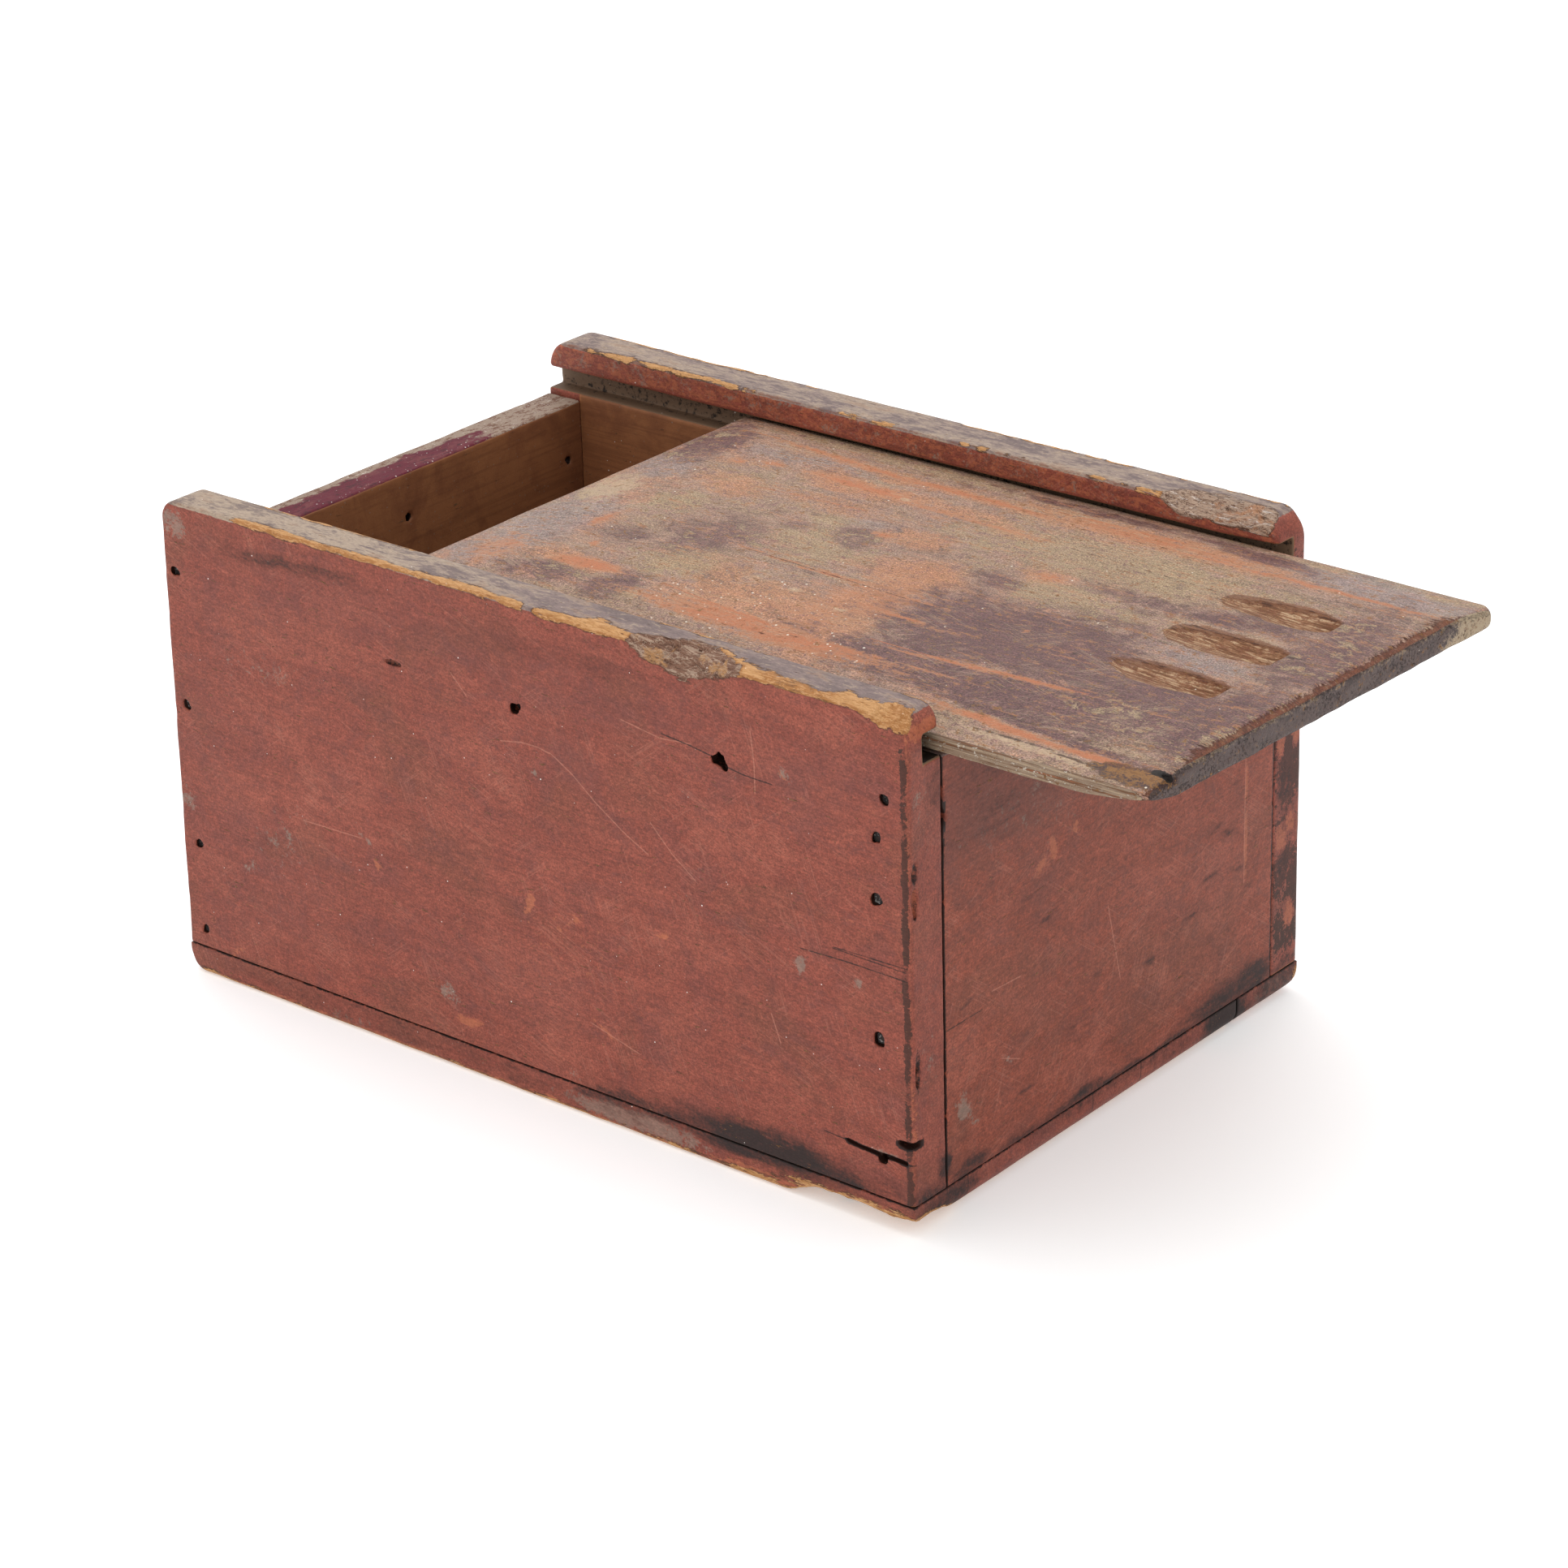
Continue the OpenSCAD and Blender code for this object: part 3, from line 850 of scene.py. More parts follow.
@dataclass(frozen=True)
class LidPatina:
    """Red paint that candle grease, smoke and hands have turned to a waxy patina.

    It gives the eye a tan ground with olive, salmon, plum-brown and blue-grey clouds drawn out along
    the grain, gritty up close, orange where the wood's ridges are rubbed bare, and a dull sheen.
    """

    name: str = "Waxed smoke patina on pine"
    ground: str = "#917566"
    olive: str = "#988265"
    salmon: str = "#aa7656"
    plum: str = "#5e4040"
    blue: str = "#887b79"
    orange: str = "#ae6a48"
    tan: str = "#b59d81"
    dark: str = "#3f2a25"
    seam: str = "#241b18"
    speck: str = "#e6dccb"
    pine: str = "#936747"
    old_pine: str = "#5f3b22"
    grey_wood: str = "#8f7a66"
    end_grain: str = "#524442"
    end_tan: str = "#7d6854"
    end_grey: str = "#65574e"
    end_dark: str = "#2e2826"
    pale_end: str = "#ab977c"
    wear: str = "#74402c"
    bloom: str = "#a38d70"
    pale_pine: str = "#bfa07f"
    rim: str = "#70452d"
    rim_shade_dark: str = "#3a2015"
    rusty: str = "#8a6238"
    # Near-black painted shade for the inside of the front hole
    hole: str = "#14100e"

    def make(self) -> Material:
        """Builds the material.

        Returns:
            The material.
        """
        coat = Coat(self.name, self.ground, 0.5)
        wide = coat.pattern((40, 20, 20), 5, 0.62, warp=0.8)
        middle = coat.pattern((10, 7.5, 7.5), 5, 0.74, (0, 0, -6), 0.7)
        small = coat.pattern((3.6, 2.9, 2.9), 5, 0.78, (0, 0, 5), 0.5)
        fine = coat.pattern((1.3, 0.9, 0.9), 3, 0.7)
        grit = coat.pattern((0.55, 0.5, 0.5), 2, 0.6)
        rubbed = coat.pattern((26, 2.0, 2.0), 5, 0.75)
        mixed = ((wide, 0.5), (middle, 0.3), (small, 0.2))
        coat.lay(self.olive, coat.mask(0.48, 0.57, *mixed), 0.6)
        coat.lay(self.salmon, coat.mask(0.48, 0.41, *mixed), 0.5)
        coat.lay(self.plum, coat.mask(0.54, 0.61, (middle, 0.7), (small, 0.3)), 0.45, 0.45)
        for name, colour, cover, rough in (
            ("salmon", self.salmon, 0.76, 0.5), ("olive", self.olive, 0.7, 0.55),
            ("blue", self.blue, 0.6, 0.42), ("plum", self.plum, 0.94, 0.42),
        ):
            spread = coat.ragged(0.1, 0.8, name, (middle, 2.4), (small, 2.4))
            coat.lay(colour, spread, cover, rough)
        crisp = ((small, 0.6), (fine, 0.4))
        coat.lay(self.tan, coat.mask(0.545, 0.58, *crisp), 0.38)
        coat.lay(self.plum, coat.mask(0.46, 0.415, *crisp), 0.7)
        bloom = coat.ragged(0.3, 0.7, "bloom", (middle, 1.8))
        blotches = coat.mask(0.515, 0.55, (small, 0.35), (middle, 0.5), (fine, 0.15))
        coat.lay(self.bloom, coat.both(bloom, blotches), 0.75, 0.6)
        coat.lay(self.dark, coat.both(spread, coat.mask(0.45, 0.38, *crisp)), 0.35)
        self.texture(coat, middle, small, fine, grit)
        streaky = ((coat.mark("orange"), 1), (rubbed, 2.2), (small, 2.4), (fine, 1.2), (0.5, -5.8))
        coat.lay(self.salmon, coat.mask(0.1, 0.5, *streaky), 0.75, 0.5)
        coat.lay(self.orange, coat.mask(0.4, 1.0, *streaky), 0.8, 0.5)
        coat.lay(self.orange, coat.mask(0.63, 0.72, (rubbed, 0.8), (fine, 0.2)), 0.3)
        coat.lay(self.tan, coat.ragged(0.3, 0.8, (coat.mark("tan"), 0.9), (small, 2.4), (fine, 0.8)), 0.7)
        soot = coat.mark("soot")
        coat.lay(self.dark, coat.ragged(0.35, 0.8, soot, (small, 1.8), (fine, 0.8)), 0.85)
        for turn in (14, -21, 48):
            hair = coat.pattern((40, 0.4, 0.4), 0.0, 0.4, turn=(0, 0, turn))
            sparse = coat.pattern(14, 2, 0.5)
            coat.lay(self.tan, coat.ragged(0.73, 0.8, hair, (sparse, 0.9)), 0.25)
        for name, colour, cover in (("scratch", self.orange, 0.75), ("crack", self.seam, 0.75)):
            gap = add(coat.tree, "ShaderNodeMath", {0: coat.mark(name)}, operation="ABSOLUTE").outputs[0]
            line = coat.ragged(0.42, 0.1, gap, (small, -0.8))
            broken = coat.ragged(0.3, 0.6, name + "_on", (small, 1.6))
            coat.lay(colour, coat.both(line, broken), cover)
        coat.vary(grit, 0.2, 0.12)
        self.wood(coat, small, fine)
        coat.lay(self.speck, coat.specks(4.4, 0.45, 0.4), 0.85)
        coat.lay(self.speck, coat.both(coat.specks(1.8, 0.5, 0.5),
                                       coat.ragged(0.4, 0.7, "flecks", (middle, 2))), 0.85)
        coat.lift(small, 0.2)
        coat.lift(fine, 0.1)
        return coat.done(0.18)

    def texture(self, coat: Coat, middle: Socket, small: Socket,
                fine: Socket, grit: Socket) -> None:
        """The crisp, gritty mottling and grain that all of the lid shows.

        Args:
            coat: The finish so far.
            middle: The pattern of its blotches.
            small: The pattern of its flecks.
            fine: The pattern of its grain.
            grit: The finest pattern.
        """
        streak = coat.pattern((70, 1.0, 1.0), 4, 0.62)
        thread = coat.pattern((9, 0.6, 0.6), 3, 0.6)
        for pattern, reach, amount in ((middle, 0.16, 0.1), (small, 0.17, 0.15), (streak, 0.16, 0.08),
                                       (thread, 0.17, 0.08), (fine, 0.17, 0.38), (grit, 0.2, 0.48)):
            coat.vary(pattern, reach, amount)
        coat.lift(streak, 0.18)
        coat.lift(thread, 0.08)

    def wood(self, coat: Coat, small: Socket, fine: Socket) -> None:
        """Worn arrises, the carved grips, the bare edges and the end grain.

        Args:
            coat: The finish so far.
            small: The pattern of its flecks.
            fine: The pattern of its grain.
        """
        depth = coat.mark("depth")
        torn = coat.pattern((8, 1.0, 1.0), 4, 0.7)
        wood = coat.pattern((44, 1.0, 1.0), 4, 0.66)
        worn = coat.ragged(0.3, 0.8, depth, (torn, 2.4), (small, 0.8))
        coat.lay(self.wear, worn, 0.8, 0.6)
        coat.lay(self.dark, coat.both(worn, coat.mask(0.5, 0.6, (torn, 1))), 0.6)
        coat.lay(self.tan, coat.both(worn, coat.mask(0.46, 0.38, (torn, 0.6), (fine, 0.4))), 0.32)
        grip = coat.ragged(0.35, 0.6, "grip", (torn, 0.5))
        raw = coat.ragged(0.4, 0.6, "raw", (torn, 0.6))
        end = coat.mask(0.4, 0.6, (coat.mark("end"), 1))
        # The grips' rim is a dark carved edge, partly painted shade: the mark is strongest on the hollows'
        # shaded walls
        rim = coat.ragged(0.4, 0.8, "grip_rim", (small, 1.8))
        coat.lay(self.pine, grip, 0.93)
        coat.stack(
            grip, (self.old_pine, 0.52, 0.59, torn, 0.8), (self.pale_pine, 0.48, 0.41, torn, 0.85),
            (self.wear, 0.5, 0.58, small, 0.6), (self.old_pine, 0.54, 0.63, fine, 0.6),
        )
        coat.lay(self.rim, rim, 0.75)
        coat.stack(rim, (self.rim_shade_dark, 0.52, 0.6, torn, 0.7))
        coat.lay(self.grey_wood, raw, 0.94)
        coat.stack(
            raw, (self.old_pine, 0.5, 0.6, wood, 0.85), (self.tan, 0.48, 0.39, wood, 0.7),
            (self.orange, 0.6, 0.66, wood, 0.5), (self.dark, 0.54, 0.64, fine, 0.45),
            (self.speck, 0.58, 0.66, fine, 0.6),
        )
        coat.lay(self.end_grain, end, 0.95)
        coat.stack(
            end, (self.end_tan, 0.55, 0.63, small, 0.3), (self.end_grey, 0.52, 0.62, fine, 0.4),
            (self.end_dark, 0.47, 0.38, small, 0.5),
        )
        tan_end = coat.both(end, coat.ragged(0.3, 0.8, "pale_end", (small, 2.6), (fine, 1.2)))
        coat.lay(self.pale_end, tan_end, 0.85)
        coat.lay(self.old_pine, coat.both(tan_end, coat.mask(0.52, 0.58, (small, 0.6), (fine, 0.4))), 0.6)
        gold = coat.mark("gold")
        coat.lay(self.dark, coat.ragged(0.1, 0.4, gold, (small, 1.6)), 0.85)
        rusty = coat.ragged(0.5, 0.75, gold, (small, 4.4), (fine, 2.4))
        coat.lay(self.rusty, rusty, 0.9)
        coat.lay(self.old_pine, coat.both(rusty, coat.mask(0.5, 0.58, (fine, 0.6), (torn, 0.4))), 0.6)
        # The square hole in the front is painted near-black inside: painted shade
        coat.lay(self.hole, coat.ragged(0.4, 0.6, "pit", (small, 1)), 0.95)
        coat.lift(coat.both(coat.mask(0.3, 0.7, (worn, 0.6), (raw, 1), (grip, 1)), torn), 0.9)
        coat.lift(coat.both(raw, wood), 0.6)


@dataclass(frozen=True)
class WroughtIron:
    """Hand-cut iron nails, sunk and rusted: near-black brown with a dull grey glint."""

    name: str = "Rusted cut-nail iron"
    ground: str = "#1d1918"
    glint: str = "#8f8a86"
    rust: str = "#3b2a22"

    def make(self) -> Material:
        """Builds the material.

        Returns:
            The material.
        """
        coat = Coat(self.name, self.ground, 0.55)
        scale = coat.pattern(1.0, 4, 0.7)
        coat.lay(self.glint, coat.mask(0.56, 0.63, (scale, 1)), 0.7, 0.4)
        coat.lay(self.rust, coat.mask(0.48, 0.38, (scale, 1)), 0.85, 0.8)
        coat.lift(scale, 0.2)
        return coat.done(0.3)


@dataclass(frozen=True)
class StudioPaper:
    """Seamless white background paper, matt, on a table that is lit a little from below."""

    name: str = "Seamless white paper"
    white: str = "#f4f4f4"
    shade: str = "#efefef"
    glow: float = 0.28

    def make(self) -> Material:
        """Builds the material."""
        coat = Coat(self.name, self.white, 0.9)
        coat.lay(self.shade, coat.mask(0.3, 0.8, (coat.pattern(400, 2), 1)), 0.3)
        return coat.done(0.1, glow=self.glow)


# --- Geometry Nodes: the plane's soft undulation, and nails set on points ---


def group_tree(name: str, sockets: tuple) -> tuple[Tree, dict[str, str]]:
    """A Geometry Nodes tree with its named inputs.

    Args:
        name: The tree's name.
        sockets: For each input its name, its socket type and its first value.

    Returns:
        The tree, and each input's identifier by name.
    """
    tree = bpy.data.node_groups.new(name, "GeometryNodeTree")
    tree.interface.new_socket("Geometry", in_out="INPUT", socket_type="NodeSocketGeometry")
    tree.interface.new_socket("Geometry", in_out="OUTPUT", socket_type="NodeSocketGeometry")
    known = {}
    for label, kind, value in sockets:
        socket = tree.interface.new_socket(label, in_out="INPUT", socket_type=kind)
        if value is not None:
            socket.default_value = value
        known[label] = socket.identifier
    return tree, known


def planed_tree() -> tuple[Tree, dict[str, str]]:
    """The tree that sinks a board's surface by the soft waves a hand plane and age leave."""
    tree, known = group_tree("hand planed surface", (
        ("Depth", "NodeSocketFloat", 0.0002),
        ("Wave", "NodeSocketVector", (0.06, 0.012, 0.012)),
        ("Ring depth", "NodeSocketFloat", 0.0001),
        ("Ring", "NodeSocketVector", (0.09, 0.003, 0.003)),
        ("Seed", "NodeSocketFloat", 1.0),
        ("Finish", "NodeSocketMaterial", None),
    ))
    given = add(tree, "NodeGroupInput").outputs
    place = add(tree, "GeometryNodeInputPosition").outputs[0]
    sink = 0.0
    for wave, depth in (("Wave", "Depth"), ("Ring", "Ring depth")):
        spot = add(tree, "ShaderNodeVectorMath", {0: place, 1: given[wave]}, operation="DIVIDE").outputs[0]
        noise = add(tree, "ShaderNodeTexNoise", {
            "Vector": spot, "W": given["Seed"], "Scale": 1.0, "Detail": 2.0,
        }, noise_dimensions="4D").outputs[0]
        sink = add(tree, "ShaderNodeMath", {0: noise, 1: given[depth], 2: sink},
                   operation="MULTIPLY_ADD").outputs[0]
    normal = add(tree, "GeometryNodeInputNormal").outputs[0]
    back = add(tree, "ShaderNodeMath", {0: sink, 1: -1.0}, operation="MULTIPLY").outputs[0]
    offset = add(tree, "ShaderNodeVectorMath", {0: normal, "Scale": back}, operation="SCALE").outputs[0]
    moved = add(tree, "GeometryNodeSetPosition", {
        "Geometry": given["Geometry"], "Offset": offset,
    }).outputs[0]
    real = add(tree, "GeometryNodeRealizeInstances", {"Geometry": moved}).outputs[0]
    done = add(tree, "GeometryNodeSetMaterial", {"Geometry": real, "Material": given["Finish"]}).outputs[0]
    add(tree, "NodeGroupOutput", {"Geometry": done})
    return tree, known


def nails_tree() -> tuple[Tree, dict[str, str]]:
    """The tree that drives one nail at each point of a mesh, each turned and sized a little apart."""
    tree, known = group_tree("driven nails", (
        ("Nail", "NodeSocketObject", None),
        ("Aim", "NodeSocketVector", (0.0, 0.0, 0.0)),
        ("Turn", "NodeSocketFloat", 0.14),
        ("Smallest", "NodeSocketFloat", 0.93),
        ("Seed", "NodeSocketInt", 1),
        ("Finish", "NodeSocketMaterial", None),
    ))
    given = add(tree, "NodeGroupInput").outputs
    nail = add(tree, "GeometryNodeObjectInfo", {"Object": given["Nail"]}).outputs["Geometry"]
    less = add(tree, "ShaderNodeMath", {0: given["Turn"], 1: -1.0}, operation="MULTIPLY").outputs[0]
    turn = add(tree, "FunctionNodeRandomValue", {2: less, 3: given["Turn"], "Seed": given["Seed"]},
               data_type="FLOAT")
    spin = add(tree, "ShaderNodeCombineXYZ", {"Z": turn.outputs[1]}).outputs[0]
    aimed = add(tree, "FunctionNodeEulerToRotation", {0: given["Aim"]}).outputs[0]
    spun = add(tree, "FunctionNodeEulerToRotation", {0: spin}).outputs[0]
    both = add(tree, "FunctionNodeRotateRotation", {"Rotation": aimed, "Rotate By": spun},
               rotation_space="LOCAL").outputs[0]
    size = add(tree, "FunctionNodeRandomValue", {2: given["Smallest"], 3: 1.0, "Seed": given["Seed"]},
               data_type="FLOAT")
    wide = add(tree, "ShaderNodeCombineXYZ", {
        "X": size.outputs[1], "Y": size.outputs[1], "Z": 1.0,
    }).outputs[0]
    set_in = add(tree, "GeometryNodeInstanceOnPoints", {
        "Points": given["Geometry"], "Instance": nail, "Rotation": both, "Scale": wide,
    }).outputs[0]
    real = add(tree, "GeometryNodeRealizeInstances", {"Geometry": set_in}).outputs[0]
    done = add(tree, "GeometryNodeSetMaterial", {"Geometry": real, "Material": given["Finish"]}).outputs[0]
    add(tree, "NodeGroupOutput", {"Geometry": done})
    return tree, known


def run_tree(piece: bpy.types.Object, built: tuple, values: dict) -> bpy.types.Object:
    """Runs a tree on a piece and turns the result into a plain mesh.

    Args:
        piece: The object that the tree starts from; it is removed.
        built: The tree and its inputs' identifiers.
        values: The inputs' values, by name.

    Returns:
        A plain mesh object with the same name, at the origin.
    """
    tree, known = built
    modifier = piece.modifiers.new("nodes", "NODES")
    modifier.node_group = tree
    for name, value in values.items():
        modifier[known[name]] = value
    graph = bpy.context.evaluated_depsgraph_get()
    mesh = bpy.data.meshes.new_from_object(piece.evaluated_get(graph), preserve_all_data_layers=True,
                                           depsgraph=graph)
    name = piece.name
    bpy.data.objects.remove(piece)
    result = bpy.data.objects.new(name, mesh)
    bpy.context.scene.collection.objects.link(result)
    mesh.polygons.foreach_set("use_smooth", [True] * len(mesh.polygons))
    return result


# --- Boards ---


@dataclass
class Board:
    """One board: a field that says where its worn wood is, and the marks on its surface.

    Its kinds give their own form of the methods that raise NotImplementedError here, with the same
    arguments and returns.
    """

    name: str
    node: str
    coarse: float
    seed: int
    grain: Axis = Axis.X
    body: str = "case"
    slot: str = "red_milk_paint"
    # The plane's waves and the growth rings: how deep, and how far along and across the grain
    wave_depth: float = 0.22
    wave: tuple = (75, 17)
    ring_depth: float = 0.1
    ring: tuple = (110, 3.4)
    # For each mark its patches, and for each kind of line its strokes
    tints: dict = field(default_factory=dict)
    lines: dict = field(default_factory=dict)
    low: Array = field(init=False)
    high: Array = field(init=False)
    noise: Noise = field(init=False)

    def __post_init__(self) -> None:
        """Takes the board's box from its CAD node."""
        low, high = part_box(self.node)
        self.low = np.array(low) / MM
        self.high = np.array(high) / MM
        self.noise = Noise(self.seed)

    def spots(self) -> tuple:
        """Where the grid is closer, for x, y and z.

        Returns:
            For each axis its spots, each a place, a spacing and a half-width.
        """
        raise NotImplementedError

    def new_wood(self, x: Array, y: Array, z: Array) -> Array:
        """Distance outside the board as it was made.

        Args:
            x: Places along the box, in mm.
            y: Places across it.
            z: Heights.

        Returns:
            The distance in mm, negative in the wood.
        """
        raise NotImplementedError

    def worn_wood(self, x: Array, y: Array, z: Array) -> Array:
        """Distance outside the board as it is now.

        Args:
            x: Places along the box, in mm.
            y: Places across it.
            z: Heights.

        Returns:
            The distance in mm, negative in the wood.
        """
        raise NotImplementedError

    def marks(self, x: Array, y: Array, z: Array) -> Marks:
        """The marks on its surface.

        Args:
            x: Places along the box, in mm.
            y: Places across it.
            z: Heights.

        Returns:
            For each mark its strength at each point.
        """
        raise NotImplementedError

    def pits(self, solid: Array, out: Array, u: Array, v: Array, rows: tuple) -> Array:
        """Cuts ragged square pits into a face.

        Args:
            solid: The field so far.
            out: Distance outside the face.
            u: Place along the face.
            v: Place across it.
            rows: For each pit its centre, half its width and its depth.

        Returns:
            The field with the pits cut.
        """
        for cu, cv, half, depth in rows:
            ragged = half * (1 + 0.5 * self.noise.at((u - cu, v - cv, out), (1.5, 1.5, 2.6), cu + cv))
            far = (np.abs(u - cu) ** 3 + np.abs(v - cv) ** 3) ** (1 / 3)
            pit = far - ragged + 0.12 * (out + 1)
            solid = np.maximum(solid, -np.maximum(pit, -out - depth))
        return solid

    def in_pits(self, out: Array, u: Array, v: Array, rows: tuple) -> Array:
        """How far each point is inside one of the pits, from 0 to 1.

        Args:
            out: Distance outside the face.
            u: Place along the face.
            v: Place across it.
            rows: For each pit its centre, half its width and its depth.

        Returns:
            The strength of the pits as a mark.
        """
        best = 0.0 * u
        for cu, cv, half, _ in rows:
            near = ramp(np.hypot(u - cu, v - cv), half + 1.6, half + 0.6)
            best = np.maximum(best, near * ramp(out, -0.2, -1.0))
        return best

    def drawn(self, u: Array, v: Array, where: Array) -> Marks:
        """The marks of the scratches and cracks drawn on a face, as far as the face reaches.

        Args:
            u: Place along the face.
            v: Place across it.
            where: How much each point belongs to the face, from 0 to 1.

        Returns:
            For each kind of line its signed distance, and its strength.
        """
        marks = {}
        for name in ("scratch", "crack"):
            marks[name], power = strokes(u, v, self.lines.get(name, ()))
            marks[name + "_on"] = power * where
        return marks

    def stray(self, u: Array, v: Array, far: float, cell: float) -> tuple[Array, Array]:
        """Moves places about by up to far, in cells of that size, so that patches are ragged.

        Args:
            u: Place along the face.
            v: Place across it.
            far: How far a place moves at most.
            cell: The size of the largest cells in which places move together.

        Returns:
            The two places after the move.
        """
        flat = (u, v, 0 * u)
        moves = (self.noise.layered(flat, cell, 4, shift) for shift in (41.0, 83.0))
        return tuple(place + far * move for place, move in zip((u, v), moves))

    def build(self, finish: Material, planed: tuple) -> bpy.types.Object:
        """Carves, marks, planes and dresses the board.

        Args:
            finish: Its material.
            planed: The tree of the planed surface.

        Returns:
            The finished piece.
        """
        lines = [graded(self.low[n], self.high[n], self.coarse, self.spots()[n]) for n in range(3)]
        x, y, z = np.meshgrid(*lines, indexing="ij", sparse=True)
        values = self.worn_wood(x, y, z).astype(np.float32)
        # No grid point may lie right on the skin
        values[values == 0] = 1e-4
        points, quads = net(lines, values)
        x, y, z = points.T
        marks = {"depth": -self.new_wood(x, y, z)}
        marks.update(self.marks(x, y, z))
        piece = mesh_object(self.name, points, quads, marks)
        piece = run_tree(piece, planed, {
            "Depth": self.wave_depth * MM,
            "Wave": tuple(s * MM for s in self.grain.along(*self.wave)),
            "Ring depth": self.ring_depth * MM,
            "Ring": tuple(s * MM for s in self.grain.along(*self.ring)),
            "Seed": float(self.seed),
            "Finish": finish,
        })
        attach(piece, self.body)
        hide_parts(self.node)
        log.info("%s: %d quads on a grid of %s", self.name, len(quads), values.shape)
        return piece


# --- The case ---

# Where the nails of a side board are sunk: along it, up it, and half the width of each pit
NAIL_PITS = (
    (143.9, 140.0, 1.5), (140.5, 127.3, 1.65), (140.2, 107.5, 1.75), (140.3, 62.3, 1.8),
    (-144.3, 144.3, 1.6), (-144.3, 97.6, 1.5), (-144.3, 48.2, 1.5), (-144.3, 17.1, 1.5),
)


